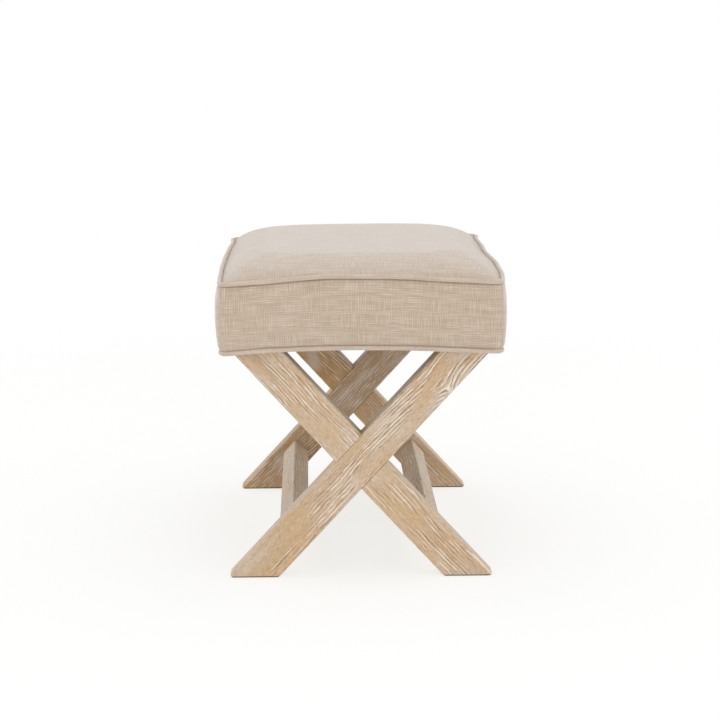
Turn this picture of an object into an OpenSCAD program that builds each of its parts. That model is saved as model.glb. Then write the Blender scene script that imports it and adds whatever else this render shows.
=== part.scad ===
// Upholstered ottoman: a boxed and welted seat on two crossed-leg frames.
// The origin is on the floor under the middle of the seat. +X is to the right across the short side,
// +Y runs along the seat away from the viewer, and +Z is up.

/* [Seat] */
// Width of the seat over the welts, at its corners
seat_w = 438; // [400:2:470]
// Length of the seat over the welts, at its corners
seat_l = 643; // [580:1:760]
// Height of the seat frame's underside above the floor
seat_z = 360; // [330:2:400]
// Height of the side band, from welt centre to welt centre at the corners
band_h = 101.5; // [92:0.5:125]
// Rise of the seat's middle above the middle of a top welt
crown_h = 31; // [20:1:42]
// Radius of the seat's corners in plan, along the centre of the top welt
corner_r = 14; // [12:0.5:20]
// How far the side band swells out past the welts' centre lines
band_bulge = 7; // [3:0.5:12]
// How far each welt is drawn in between the corners
draw_in = 2; // [0:0.5:4]
// How much further in the bottom welt lies than the top welt
bottom_in = 2; // [0:0.5:4]
// Rise of the top welt in the middle of a side, above its corners
top_bow = 11; // [0:0.5:14]
// Rise of the bottom welt in the middle of a side, above its corners
bottom_bow = 4; // [0:0.5:6]
// How far the bottom welt's centre hangs below the frame at the corners
welt_hang = 3.5; // [3:0.5:5]

/* [Cover and filling] */
// Thickness of the cover's cloth
cloth_t = 1.5; // [1:0.1:2]
// Diameter of the covered cord in the welts
welt_d = 7; // [5:0.5:8]
// Thickness of the wadding over the foam
wadding_t = 7; // [4:0.5:10]
// Thickness of the hem that turns under the rails
hem_t = 1.5; // [1:0.1:2]
// Width of that hem under the rails
hem_w = 24; // [16:1:30]
// Thickness of the dust cover
dust_t = 1; // [0.6:0.1:1.5]

/* [Seat frame] */
// Space between the top welt's centre line and the frame, for cloth and wadding
wrap_t = 8.5; // [7:0.5:12]
// Height of the rails
rail_h = 38; // [34:1:45]
// Width of the two side rails and of the middle rail
side_rail_w = 38; // [34:1:42]
// Width of the two end rails
end_rail_w = 64; // [60:1:72]
// Thickness of the plywood deck
deck_t = 12; // [9:1:15]
// Rounding of the frame's outer corners
frame_r = 8; // [6:0.5:10]
// Length of a corner block's two square edges
block_w = 45; // [35:1:60]
// Height of the corner blocks
block_h = 30; // [20:1:34]

/* [Crossed legs] */
// Width of a leg across its face
leg_w = 57; // [50:1:64]
// Thickness of a leg, front to back
leg_t = 38; // [34:1:42]
// Distance from the frame's end to the outer face of the legs
leg_setback = 14; // [10:1:18]
// Distance from the frame's side to the points of the legs
tip_inset = 2.5; // [2:0.5:10]
// How much of each sharp leg point is cut off square
tip_trim = 1; // [1:0.5:5]
// Rounding of the long edges of legs and stretchers
arris_r = 3; // [1:0.5:5]

/* [Stretchers] */
// Width of the square stretchers
stretcher_w = 33; // [28:1:40]
// Height of the stretchers' centre lines above the floor
stretcher_z = 67.5; // [60:0.5:90]

/* [Feet] */
// Thickness of the felt pads
pad_t = 2; // [1.5:0.5:4]
// Distance from the leg's edges to the pad
pad_inset = 2; // [1.5:0.5:8]
// Corner radius of the pads
pad_r = 4; // [2:0.5:6]

/* [Dowels] */
// Diameter of the dowels
dowel_d = 8; // [6:0.5:10]
// Length of the dowels
dowel_l = 50; // [40:1:56]
// Distance between the two dowels of a joint
dowel_gap = 16; // [14:0.5:18]

/* [Bolts and screws] */
// Diameter of the leg bolts
bolt_d = 8; // [6:0.5:9]
// Width of the bolt heads across their flats
bolt_head_w = 13; // [11:0.5:14]
// Height of the bolt heads
bolt_head_h = 5.3; // [4:0.1:5.5]
// Diameter of the washers
washer_d = 20; // [17:0.5:22]
// Thickness of the washers
washer_t = 1.6; // [1.2:0.1:2]
// Depth of the pocket that takes a bolt head and its washer
bolt_sink = 8; // [8:0.5:10]
// Outer diameter of the threaded inserts in the leg tops
insert_d = 12; // [11:0.5:14]
// Length of the threaded inserts
insert_l = 25; // [20:1:30]
// Distance from the inner edge of a leg's top to its bolt
bolt_edge = 18; // [16:0.5:20]
// Distance from a leg's bolt to its dowel
bolt_to_dowel = 23; // [21:0.5:25]
// Diameter of the deck screws
screw_d = 4; // [3:0.5:4.5]
// Length of the deck screws
screw_l = 35; // [30:1:40]
// Diameter of the deck screws' countersunk heads
screw_head_d = 8; // [7:0.5:9]

/* [Hidden] */

// Colours as the object shows them
oak_colour = "#b79a78";
pine_colour = "#d9bd8c";
plywood_colour = "#c9a877";
dowel_colour = "#e0cba4";
steel_colour = "#9a9ca0";
brass_colour = "#b59a56";
felt_colour = "#4a3a2e";
foam_colour = "#e9e2c9";
wadding_colour = "#f4f2ec";
linen_colour = "#c9b79f";
dust_colour = "#2b2927";

// Facets of a full circle on round parts and on small edges
round_fn = 48;
// How far a cutting shape runs past what it cuts
overrun = 1;
// Gap on each side of a glued dowel or insert
glue_gap = 0.05;
// Full gap between the glued faces of a lap joint
lap_gap = 0.1;
// Gap that lets a soft piece lie on its neighbour without cutting it
soft_gap = 0.3;
// Gap between the hidden layers of the filling
filling_gap = 0.5;
// Gap between the frame's corners and the wadding that wraps them
wrap_gap = 1;
// Gap round a leg where the hem and the dust cover are cut for it
leg_cut_gap = 0.5;
// Gap between the end of a dowel or bolt and the bottom of its hole
end_gap = 1;
// Gap round a bolt in the rail it passes through
bolt_gap = 0.5;
// Gap round a washer in its pocket
washer_gap = 2;
// Gap round a screw in the plywood it holds down
screw_gap = 0.25;
// Bevel on the ends of the dowels
dowel_bevel = 1;
// Height of a screw's countersunk head and of its point
screw_head_h = 2.6;
screw_tip_h = 4;
// How far up the rails' sides the wadding ends
wadding_hem = 4;
// How far the dust cover's edge lies inside the frame's edge
dust_inset = 10;

// Frame outline, as half sizes from the middle
welt_r = welt_d / 2;
seat_half_w = seat_w / 2 - welt_r;
seat_half_l = seat_l / 2 - welt_r;
frame_half_w = seat_half_w - draw_in - wrap_t;
frame_half_l = seat_half_l - draw_in - wrap_t;
side_rail_x = frame_half_w - side_rail_w / 2;
end_rail_y = frame_half_l - end_rail_w / 2;
frame_open_w = frame_half_w - side_rail_w;
frame_open_l = frame_half_l - end_rail_w;
deck_z = seat_z + rail_h;
foam_z = deck_z + deck_t;

// Crossed legs: the lean that puts their points just inside the frame's sides
leg_half_h = (seat_z - pad_t) / 2;
cross_z = pad_t + leg_half_h;
leg_reach = frame_half_w - tip_inset;
leg_angle = acos(leg_w / 2 / norm([leg_reach, leg_half_h])) - atan2(leg_half_h, leg_reach);
leg_foot_x = leg_half_h * tan(leg_angle);
leg_end_w = leg_w / cos(leg_angle);
leg_blank_l = 2 * (leg_half_h + leg_w) / cos(leg_angle);
leg_y = frame_half_l - leg_setback - leg_t / 2;
stretcher_x = (cross_z - stretcher_z) * tan(leg_angle);
stretcher_l = 2 * leg_y - leg_t;
pad_l = leg_end_w - tip_trim - 2 * pad_inset;
pad_x = leg_foot_x - tip_trim / 2;

// Fasteners between legs and end rails
bolt_x = leg_foot_x - leg_end_w / 2 + bolt_edge;
leg_dowel_x = bolt_x + bolt_to_dowel;
bolt_seat_z = deck_z - bolt_sink;
bolt_l = bolt_seat_z + washer_t - (seat_z - insert_l) - end_gap;

// Places of the deck screws, as shares of the opening between the rails
side_screw_shares = [-0.75, -0.25, 0.25, 0.75];
end_screw_shares = [-0.5, 0, 0.5];
mid_screw_shares = [-0.5, 0.5];

// Welts and crown
bottom_welt_z = seat_z - welt_hang;
top_welt_z = bottom_welt_z + band_h;
crown_half_w = seat_half_w - draw_in - welt_r - soft_gap;
crown_half_l = seat_half_l - draw_in - welt_r - soft_gap;
// How square the crown's shoulder is, and how even the draw-in is between the corners
crown_power = 6;
draw_power = 6;
// Segments of the soft forms along the short sides, the long sides, a corner and the band's height
fine_steps = [10, 14, 4];
plain_steps = [5, 7, 2];
band_rows = 6;
welt_sides = 8;
// Rings of the crown, as shares of the way from its middle to its rim
fine_ring_shares = [1, 0.97, 0.92, 0.85, 0.75, 0.6, 0.38, 0.12];
plain_ring_shares = [1, 0.92, 0.75, 0.38, 0.12];

// Bars and rounded plates

// Rectangle with round corners, centred
module rounded_plan(w, l, r) {
    square([w - 2 * r, l], center = true);
    square([w, l - 2 * r], center = true);
    for (x = [-1, 1], y = [-1, 1])
        translate([x * (w / 2 - r), y * (l / 2 - r)])
            circle(r = r, $fn = round_fn);
}

// Plate with the seat frame's outline, drawn in by an inset
module frame_plate(z, h, inset = 0) {
    translate([0, 0, z])
        linear_extrude(height = h)
            rounded_plan(2 * (frame_half_w - inset), 2 * (frame_half_l - inset), frame_r);
}

// Glued dowel along Z, centred, with bevelled ends
module dowel() {
    straight = dowel_l - 2 * dowel_bevel;
    cylinder(d = dowel_d, h = straight, center = true, $fn = round_fn);
    for (end = [-1, 1])
        translate([0, 0, end * (straight + dowel_bevel) / 2])
            rotate([90 - 90 * end, 0, 0])
                cylinder(d1 = dowel_d, d2 = dowel_d - 2 * dowel_bevel, h = dowel_bevel, center = true,
                         $fn = round_fn);
}

// Hole that a dowel is glued into, through both pieces of the joint
module dowel_hole() {
    cylinder(d = dowel_d + 2 * glue_gap, h = dowel_l + 2 * end_gap, center = true, $fn = round_fn);
}

// Crossed legs. lean is 1 for a leg that rises to the right and -1 for one that rises to the left.
// end is -1 for the front frame and 1 for the rear frame.

// Rounded bar that a leg is cut from
module leg_blank(lean, end, grow = 0) {
    translate([0, end * leg_y, cross_z])
        rotate([0, lean * leg_angle, 0])
            linear_extrude(height = leg_blank_l, center = true)
                rounded_plan(leg_w + 2 * grow, leg_t + 2 * grow, arris_r);
}

// Half of the thickness that a leg gives up to the leg that crosses it
module lap_cut(lean, end) {
    depth = leg_t / 2 + overrun;
    translate([0, end * leg_y + lean * depth / 2, cross_z])
        rotate([0, -lean * leg_angle, 0])
            cube([leg_w + lap_gap, depth + lap_gap, leg_blank_l], center = true);
}

// Carries what follows to a stretcher's place, turned with the leg that it joins
module at_stretcher(lean) {
    translate([-lean * stretcher_x, 0, stretcher_z])
        rotate([0, lean * leg_angle, 0])
            children();
}

// Carries what follows to the four dowels of a stretcher, along Y
module at_stretcher_dowels(lean) {
    at_stretcher(lean)
        for (end = [-1, 1], side = [-1, 1])
            translate([0, end * stretcher_l / 2, side * dowel_gap / 2])
                rotate([90, 0, 0])
                    children();
}

// Carries what follows to one leg's bolt, at the joint between leg and rail
module at_leg_bolt(lean, end) {
    translate([lean * bolt_x, end * leg_y, seat_z])
        children();
}

// Carries what follows to one leg's dowel, at the joint between leg and rail
module at_leg_dowel(lean, end) {
    translate([lean * leg_dowel_x, end * leg_y, seat_z])
        children();
}

module leg(lean, end) {
    reach = leg_reach - tip_trim;
    difference() {
        intersection() {
            leg_blank(lean, end);
            translate([-reach, end * leg_y - leg_t, pad_t])
                cube([2 * reach, 2 * leg_t, 2 * leg_half_h]);
        }
        lap_cut(lean, end);
        at_stretcher_dowels(lean)
            dowel_hole();
        at_leg_dowel(lean, end)
            dowel_hole();
        at_leg_bolt(lean, end)
            translate([0, 0, -insert_l - end_gap])
                cylinder(d = insert_d + 2 * glue_gap, h = insert_l + end_gap + overrun, $fn = round_fn);
    }
}

module stretcher(lean) {
    difference() {
        at_stretcher(lean)
            rotate([90, 0, 0])
                linear_extrude(height = stretcher_l, center = true)
                    rounded_plan(stretcher_w, stretcher_w, arris_r);
        at_stretcher_dowels(lean)
            dowel_hole();
    }
}

// Thin felt pad under a foot
module foot_pad(lean, end) {
    translate([-lean * pad_x, end * leg_y, 0])
        linear_extrude(height = pad_t)
            rounded_plan(pad_l, leg_t - 2 * pad_inset, pad_r);
}

module front_left_leg() {
    color(oak_colour) leg(1, -1);
}

module front_right_leg() {
    color(oak_colour) leg(-1, -1);
}

module rear_left_leg() {
    color(oak_colour) leg(1, 1);
}

module rear_right_leg() {
    color(oak_colour) leg(-1, 1);
}

module left_stretcher() {
    color(oak_colour) stretcher(1);
}

module right_stretcher() {
    color(oak_colour) stretcher(-1);
}

module stretcher_dowels() {
    color(dowel_colour)
        for (lean = [-1, 1])
            at_stretcher_dowels(lean)
                dowel();
}

module front_left_foot_pad() {
    color(felt_colour) foot_pad(1, -1);
}

module front_right_foot_pad() {
    color(felt_colour) foot_pad(-1, -1);
}

module rear_left_foot_pad() {
    color(felt_colour) foot_pad(1, 1);
}

module rear_right_foot_pad() {
    color(felt_colour) foot_pad(-1, 1);
}

// Seat frame. It looks the same after half a turn about Z, so each rail is made once and turned.

// Carries what follows to the dowels that join side rails to end rails, along Y
module at_corner_dowels() {
    for (x = [-1, 1], y = [-1, 1], side = [-1, 1])
        translate([x * side_rail_x + side * dowel_gap / 2, y * frame_open_l, seat_z + rail_h / 2])
            rotate([90, 0, 0])
                children();
}

// Carries what follows to the dowels that join the middle rail to the side rails, along X
module at_middle_dowels() {
    for (x = [-1, 1], side = [-1, 1])
        translate([x * frame_open_w, side * dowel_gap / 2, seat_z + rail_h / 2])
            rotate([0, 90, 0])
                children();
}

// Carries what follows to each deck screw's head, on the deck's top
module at_deck_screws() {
    for (x = [-1, 1], share = side_screw_shares)
        translate([x * side_rail_x, share * frame_open_l, foam_z])
            children();
    for (y = [-1, 1], share = end_screw_shares)
        translate([share * frame_open_w, y * end_rail_y, foam_z])
            children();
    for (share = mid_screw_shares)
        translate([share * frame_open_w, 0, foam_z])
            children();
}

// Countersunk screw that points down from its head
module deck_screw(gap = 0) {
    r = screw_d / 2 + gap;
    translate([0, 0, -screw_l + screw_tip_h - gap])
        cylinder(r = r, h = screw_l - screw_tip_h + gap, $fn = round_fn);
    translate([0, 0, -screw_l - gap])
        cylinder(r1 = screw_d / 4, r2 = r, h = screw_tip_h, $fn = round_fn);
    translate([0, 0, -screw_head_h])
        cylinder(r1 = r, r2 = screw_head_d / 2 + gap, h = screw_head_h, $fn = round_fn);
}

module deck_screw_holes() {
    at_deck_screws()
        deck_screw(glue_gap);
}

module end_rail() {
    difference() {
        intersection() {
            frame_plate(seat_z, rail_h);
            translate([-frame_half_w, frame_open_l, seat_z])
                cube([2 * frame_half_w, end_rail_w, rail_h]);
        }
        at_corner_dowels()
            dowel_hole();
        for (lean = [-1, 1]) {
            at_leg_dowel(lean, 1)
                dowel_hole();
            at_leg_bolt(lean, 1) {
                translate([0, 0, -overrun])
                    cylinder(d = bolt_d + 2 * bolt_gap, h = rail_h + overrun, $fn = round_fn);
                translate([0, 0, rail_h - bolt_sink])
                    cylinder(d = washer_d + 2 * washer_gap, h = bolt_sink + overrun, $fn = round_fn);
            }
        }
        deck_screw_holes();
    }
}

module side_rail() {
    difference() {
        translate([frame_open_w, -frame_open_l, seat_z])
            cube([side_rail_w, 2 * frame_open_l, rail_h]);
        at_corner_dowels()
            dowel_hole();
        at_middle_dowels()
            dowel_hole();
        deck_screw_holes();
    }
}

module front_rail() {
    color(pine_colour)
        rotate([0, 0, 180])
            end_rail();
}

module rear_rail() {
    color(pine_colour) end_rail();
}

module left_rail() {
    color(pine_colour)
        rotate([0, 0, 180])
            side_rail();
}

module right_rail() {
    color(pine_colour) side_rail();
}

module middle_rail() {
    color(pine_colour)
        difference() {
            translate([-frame_open_w, -side_rail_w / 2, seat_z])
                cube([2 * frame_open_w, side_rail_w, rail_h]);
            at_middle_dowels()
                dowel_hole();
            deck_screw_holes();
        }
}

module rail_dowels() {
    color(dowel_colour) {
        at_corner_dowels()
            dowel();
        at_middle_dowels()
            dowel();
    }
}

// Three-cornered blocks glued into the frame's inner corners, under the deck
module corner_blocks() {
    color(pine_colour)
        for (x = [0, 1], y = [0, 1])
            mirror([x, 0, 0])
                mirror([0, y, 0])
                    translate([frame_open_w, frame_open_l, deck_z - block_h])
                        linear_extrude(height = block_h)
                            polygon([[0, 0], [-block_w, 0], [0, -block_w]]);
}

module leg_bolts() {
    color(steel_colour)
        for (lean = [-1, 1], end = [-1, 1])
            translate([lean * bolt_x, end * leg_y, bolt_seat_z + washer_t]) {
                translate([0, 0, -bolt_l])
                    cylinder(d = bolt_d, h = bolt_l + overrun, $fn = round_fn);
                cylinder(d = bolt_head_w / cos(30), h = bolt_head_h, $fn = 6);
            }
}

module leg_washers() {
    color(steel_colour)
        for (lean = [-1, 1], end = [-1, 1])
            translate([lean * bolt_x, end * leg_y, bolt_seat_z])
                difference() {
                    cylinder(d = washer_d, h = washer_t, $fn = round_fn);
                    translate([0, 0, -overrun])
                        cylinder(d = bolt_d + 2 * glue_gap, h = washer_t + 2 * overrun, $fn = round_fn);
                }
}

module leg_inserts() {
    color(brass_colour)
        for (lean = [-1, 1], end = [-1, 1])
            translate([lean * bolt_x, end * leg_y, seat_z - insert_l])
                difference() {
                    cylinder(d = insert_d, h = insert_l, $fn = round_fn);
                    translate([0, 0, -overrun])
                        cylinder(d = bolt_d + 2 * glue_gap, h = insert_l + 2 * overrun, $fn = round_fn);
                }
}

module leg_dowels() {
    color(dowel_colour)
        for (lean = [-1, 1], end = [-1, 1])
            at_leg_dowel(lean, end)
                dowel();
}

module seat_deck() {
    color(plywood_colour)
        difference() {
            frame_plate(deck_z, deck_t);
            at_deck_screws() {
                deck_screw(screw_gap);
                cylinder(d = screw_head_d + 2 * screw_gap, h = overrun, $fn = round_fn);
            }
        }
}

module deck_screws() {
    color(steel_colour)
        at_deck_screws()
            deck_screw();
}

// Soft forms. Each is a skin over rings that run round the seat, seen from above against the clock.

// Share of the full draw-in at t, which runs from 0 at one corner to 1 at the next
function draw_share(t) = 1 - pow(abs(2 * t - 1), draw_power);

// Loop with round corners and drawn-in sides. It starts at the left end of the front side.
// steps are those of a short side, a long side and a corner.
function round_loop(half_w, half_l, r, draw, steps) = [
    for (side = [0 : 3])
        let (
            turn = 90 * side - 90,
            short = side % 2 == 0,
            half = (short ? half_w : half_l) - r,
            off = short ? half_l : half_w,
            n = short ? steps[0] : steps[1]
        )
        each concat(
            [for (i = [0 : n - 1])
                let (t = i / n, s = half * (2 * t - 1), o = off - draw * draw_share(t))
                [o * cos(turn) - s * sin(turn), o * sin(turn) + s * cos(turn)]],
            [for (i = [0 : steps[2] - 1])
                let (o = off - r, a = turn + 90 * i / steps[2])
                [o * cos(turn) - half * sin(turn) + r * cos(a),
                 o * sin(turn) + half * cos(turn) + r * sin(a)]]
        )
];

// Loop along the centre of the top welt, grown outwards
function seat_loop(grow, steps) =
    round_loop(seat_half_w + grow, seat_half_l + grow, corner_r + grow, draw_in, steps);

// Loop along the frame's outline, grown outwards
function frame_loop(grow, steps) =
    round_loop(frame_half_w + grow, frame_half_l + grow, frame_r + grow, 0, steps);

// Share of a welt's full rise over a place: none at the corners, all of it midway along the sides
function rise_share(p) =
    1 - pow(min(1, abs(p[0]) / seat_half_w) * min(1, abs(p[1]) / seat_half_l), 2);

// Share of the crown's height over a place
function crown_share(p) =
    (1 - pow(min(1, abs(p[0]) / crown_half_w), crown_power))
    * (1 - pow(min(1, abs(p[1]) / crown_half_l), crown_power));

// A loop raised to a height, with its rise
function raised(loop, z, bow) = [for (p = loop) [p[0], p[1], z + bow * rise_share(p)]];

// Ring of the crown at a share of the way from its middle to its rim, some way under the surface
function crown_ring(loop, share, depth) = [
    for (q = loop)
        let (p = q * share)
        [p[0], p[1], top_welt_z + top_bow * rise_share(p) + crown_h * crown_share(p) - depth]
];

// The same rings in the other order
function turned(rings) = [for (i = [len(rings) - 1 : -1 : 0]) rings[i]];

// Middle point of a ring
function middle(ring) = [for (p = ring) 1] * ring / len(ring);

// Skin over rings that rise on the outside. It closes at a pole at each end.
module ring_solid(rings) {
    n = len(rings[0]);
    m = len(rings);
    points = concat([for (ring = rings) each ring], [middle(rings[0]), middle(rings[m - 1])]);
    low_pole = n * m;
    high_pole = n * m + 1;
    faces = concat(
        [for (i = [0 : m - 2], j = [0 : n - 1])
            let (k = (j + 1) % n)
            each [[i * n + j, (i + 1) * n + j, (i + 1) * n + k], [i * n + j, (i + 1) * n + k, i * n + k]]],
        [for (j = [0 : n - 1]) [low_pole, j, (j + 1) % n]],
        [for (j = [0 : n - 1]) [high_pole, (m - 1) * n + (j + 1) % n, (m - 1) * n + j]]
    );
    polyhedron(points = points, faces = faces);
}

// Skin over rings that come back to the first one, as on a welt
module ring_tube(rings) {
    n = len(rings[0]);
    m = len(rings);
    points = [for (ring = rings) each ring];
    faces = [
        for (i = [0 : m - 1], j = [0 : n - 1])
            let (k = (j + 1) % n, up = (i + 1) % m)
            each [[i * n + j, up * n + j, up * n + k], [i * n + j, up * n + k, i * n + k]]
    ];
    polyhedron(points = points, faces = faces);
}

// Sheet between an outer and an inner grid of points, with rows from the bottom up
module sheet_solid(outer, inner) {
    m = len(outer);
    n = len(outer[0]);
    in = m * n;
    points = concat([for (row = outer) each row], [for (row = inner) each row]);
    faces = concat(
        [for (i = [0 : m - 2], j = [0 : n - 2])
            let (a = i * n + j, b = a + 1, d = a + n, c = d + 1)
            each [[a, d, c], [a, c, b], [in + a, in + c, in + d], [in + a, in + b, in + c]]],
        [for (j = [0 : n - 2])
            let (a = j, d = (m - 1) * n + j)
            each [[a, a + 1, in + a + 1], [a, in + a + 1, in + a],
                  [d, in + d, in + d + 1], [d, in + d + 1, d + 1]]],
        [for (i = [0 : m - 2])
            let (a = i * n, d = a + n, b = a + n - 1, c = d + n - 1)
            each [[a, in + a, in + d], [a, in + d, d], [b, c, in + c], [b, in + c, in + b]]]
    );
    polyhedron(points = points, faces = faces);
}

// Round welt along the seat's loop
module welt(grow, z, bow) {
    ring_tube([
        for (i = [0 : welt_sides - 1])
            let (a = 360 * (i + 0.5) / welt_sides)
            raised(seat_loop(grow + welt_r * cos(a), fine_steps), z + welt_r * sin(a), bow)
    ]);
}

// Part of a loop that one side's band covers, from seam to seam in the middle of its corners
function band_part(loop, side) =
    let (
        starts = [
            0,
            fine_steps[0] + fine_steps[2],
            fine_steps[0] + fine_steps[1] + 2 * fine_steps[2],
            2 * fine_steps[0] + fine_steps[1] + 3 * fine_steps[2]
        ],
        half = fine_steps[2] / 2,
        n = len(loop)
    )
    [for (j = [starts[side] - half : starts[side] + fine_steps[side % 2] + half]) loop[(j + n) % n]];

// One row of points of a side's band, at a share of its height
function band_row(side, share, depth) =
    let (
        grow = band_bulge * sin(180 * share) - bottom_in * (1 - share) - depth,
        low = bottom_welt_z + welt_r + soft_gap,
        high = top_welt_z - welt_r - soft_gap,
        bow = bottom_bow + (top_bow - bottom_bow) * share
    )
    raised(band_part(seat_loop(grow, fine_steps), side), low + (high - low) * share, bow);

// Side band between the two welts. side counts front, right, rear, left from 0.
module band(side) {
    sheet_solid(
        [for (i = [0 : band_rows]) band_row(side, i / band_rows, 0)],
        [for (i = [0 : band_rows]) band_row(side, i / band_rows, cloth_t)]
    );
}

module foam_core() {
    depth = cloth_t + wadding_t + 2 * filling_gap;
    loop = frame_loop(0, plain_steps);
    color(foam_colour)
        ring_solid(concat(
            [raised(loop, foam_z, 0)],
            [for (share = plain_ring_shares) crown_ring(loop, share, depth)]
        ));
}

module wadding() {
    outer_depth = cloth_t + filling_gap;
    inner_depth = outer_depth + wadding_t;
    inner_loop = frame_loop(wrap_gap, plain_steps);
    rim_loop = seat_loop(-welt_r - soft_gap, plain_steps);
    low_loop = seat_loop(-bottom_in - cloth_t - filling_gap, plain_steps);
    mid_loop = seat_loop(band_bulge - bottom_in / 2 - cloth_t - filling_gap, plain_steps);
    high_loop = seat_loop(-cloth_t - filling_gap, plain_steps);
    low_z = seat_z + wadding_hem;
    mid_z = (bottom_welt_z + top_welt_z) / 2;
    mid_bow = (bottom_bow + top_bow) / 2;
    high_z = top_welt_z - welt_r - soft_gap;
    color(wadding_colour)
        ring_solid(concat(
            turned([for (share = plain_ring_shares) crown_ring(inner_loop, share, inner_depth)]),
            [raised(inner_loop, low_z, 0), raised(low_loop, low_z, 0)],
            [raised(mid_loop, mid_z, mid_bow), raised(high_loop, high_z, top_bow)],
            [for (share = plain_ring_shares) crown_ring(rim_loop, share, outer_depth)]
        ));
}

module top_panel() {
    loop = seat_loop(-welt_r - soft_gap, fine_steps);
    color(linen_colour)
        ring_solid(concat(
            turned([for (share = fine_ring_shares) crown_ring(loop, share, cloth_t)]),
            [for (share = fine_ring_shares) crown_ring(loop, share, 0)]
        ));
}

module front_band() {
    color(linen_colour) band(0);
}

module right_band() {
    color(linen_colour) band(1);
}

module rear_band() {
    color(linen_colour) band(2);
}

module left_band() {
    color(linen_colour) band(3);
}

module top_welt() {
    color(linen_colour) welt(0, top_welt_z, top_bow);
}

module bottom_welt() {
    color(linen_colour) welt(-bottom_in, bottom_welt_z, bottom_bow);
}

// The cover's edge, turned under the rails and cut out round the legs
module cover_hem() {
    edge = seat_half_w - draw_in - bottom_in - welt_r - soft_gap - frame_half_w;
    color(linen_colour)
        difference() {
            frame_plate(seat_z - hem_t, hem_t, -edge);
            frame_plate(seat_z - hem_t - overrun, hem_t + 2 * overrun, hem_w - edge);
            for (lean = [-1, 1], end = [-1, 1])
                leg_blank(lean, end, leg_cut_gap);
        }
}

// Dark cloth over the underside of the frame, stapled over the hem
module dust_cover() {
    color(dust_colour)
        difference() {
            frame_plate(seat_z - hem_t - dust_t, dust_t, dust_inset);
            for (lean = [-1, 1], end = [-1, 1])
                leg_blank(lean, end, leg_cut_gap);
        }
}

front_left_leg();
front_right_leg();
rear_left_leg();
rear_right_leg();
left_stretcher();
right_stretcher();
stretcher_dowels();
front_left_foot_pad();
front_right_foot_pad();
rear_left_foot_pad();
rear_right_foot_pad();
front_rail();
rear_rail();
left_rail();
right_rail();
middle_rail();
rail_dowels();
corner_blocks();
leg_bolts();
leg_washers();
leg_inserts();
leg_dowels();
seat_deck();
deck_screws();
foam_core();
wadding();
top_panel();
front_band();
rear_band();
left_band();
right_band();
top_welt();
bottom_welt();
cover_hem();
dust_cover();
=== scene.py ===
# %% [markdown]
# # An ottoman: boxed linen seat on crossed legs of limed oak
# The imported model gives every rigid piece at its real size. This lesson dresses it: each cell makes one
# piece or one finish, says what it is on the real ottoman, how it could be made, and why this way was
# chosen. All lengths are in metres, written as so many millimetres.

# %% Load the frame
import math
import random

import bmesh
import bpy
from mathutils import Matrix, Vector, noise


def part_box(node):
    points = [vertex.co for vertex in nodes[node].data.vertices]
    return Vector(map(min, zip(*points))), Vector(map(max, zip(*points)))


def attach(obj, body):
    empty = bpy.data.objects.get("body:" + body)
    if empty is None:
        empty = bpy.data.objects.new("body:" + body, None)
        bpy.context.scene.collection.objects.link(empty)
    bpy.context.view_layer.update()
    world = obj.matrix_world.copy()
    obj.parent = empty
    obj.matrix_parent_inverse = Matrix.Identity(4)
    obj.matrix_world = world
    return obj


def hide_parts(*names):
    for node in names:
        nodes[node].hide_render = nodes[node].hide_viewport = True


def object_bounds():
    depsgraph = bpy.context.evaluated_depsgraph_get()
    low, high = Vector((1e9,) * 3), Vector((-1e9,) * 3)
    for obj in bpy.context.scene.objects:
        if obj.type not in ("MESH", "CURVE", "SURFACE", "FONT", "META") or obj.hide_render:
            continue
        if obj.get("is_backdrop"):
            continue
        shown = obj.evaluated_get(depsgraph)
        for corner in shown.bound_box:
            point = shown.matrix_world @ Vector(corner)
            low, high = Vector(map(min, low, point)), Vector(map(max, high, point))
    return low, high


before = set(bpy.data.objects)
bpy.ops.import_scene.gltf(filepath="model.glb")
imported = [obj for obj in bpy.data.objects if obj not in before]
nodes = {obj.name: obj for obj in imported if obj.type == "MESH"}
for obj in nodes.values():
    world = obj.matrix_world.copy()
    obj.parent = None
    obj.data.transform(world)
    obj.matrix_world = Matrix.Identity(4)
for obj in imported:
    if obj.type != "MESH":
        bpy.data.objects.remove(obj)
cad_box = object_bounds()
scene = bpy.context.scene
scene.view_settings.view_transform = "Standard"
MM = 0.001
print("pieces in the frame:", len(nodes))

# %% [markdown]
# ## The camera
# The picture looks straight at the short side from a little over three metres away, and down at about ten
# degrees. Its place and lens come from the perspective of the legs, whose long edges fix them. A camera
# can be aimed with a constraint or with a matrix. The matrix is exact and leaves nothing live, so it is
# used here.

# %% Camera
CAMERA_AT = Vector((-0.0768, -3.1572, 0.8758))
CAMERA_YAW = math.radians(1.4925)
CAMERA_PITCH = math.radians(10.604)
CAMERA_ROLL = math.radians(0.061)
LENS_MM = 96.72
SENSOR_MM = 36

camera_data = bpy.data.cameras.new("camera")
camera_data.sensor_width = SENSOR_MM
camera_data.lens = LENS_MM
camera = bpy.data.objects.new("camera", camera_data)
scene.collection.objects.link(camera)
aim = Matrix.Rotation(-CAMERA_YAW, 4, "Z") @ Matrix.Rotation(math.pi / 2 - CAMERA_PITCH, 4, "X")
camera.matrix_world = Matrix.Translation(CAMERA_AT) @ aim @ Matrix.Rotation(-CAMERA_ROLL, 4, "Z")
scene.camera = camera
print("camera distance, m:", round(CAMERA_AT.length, 2))

# %% [markdown]
# ## Sizes of the cover
# The cover is a box of five panels with a piped seam, the welt, round its top and round its bottom. Every
# panel hangs on those two seam lines, so their size is read from the frame once, and all pieces are
# worked out from it. The seam lines are rounded rectangles whose sides pull in slightly between the
# corners and rise towards their middles. The frame's welts are tubes with eight flat sides, so their
# boxes end at the flats.

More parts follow.
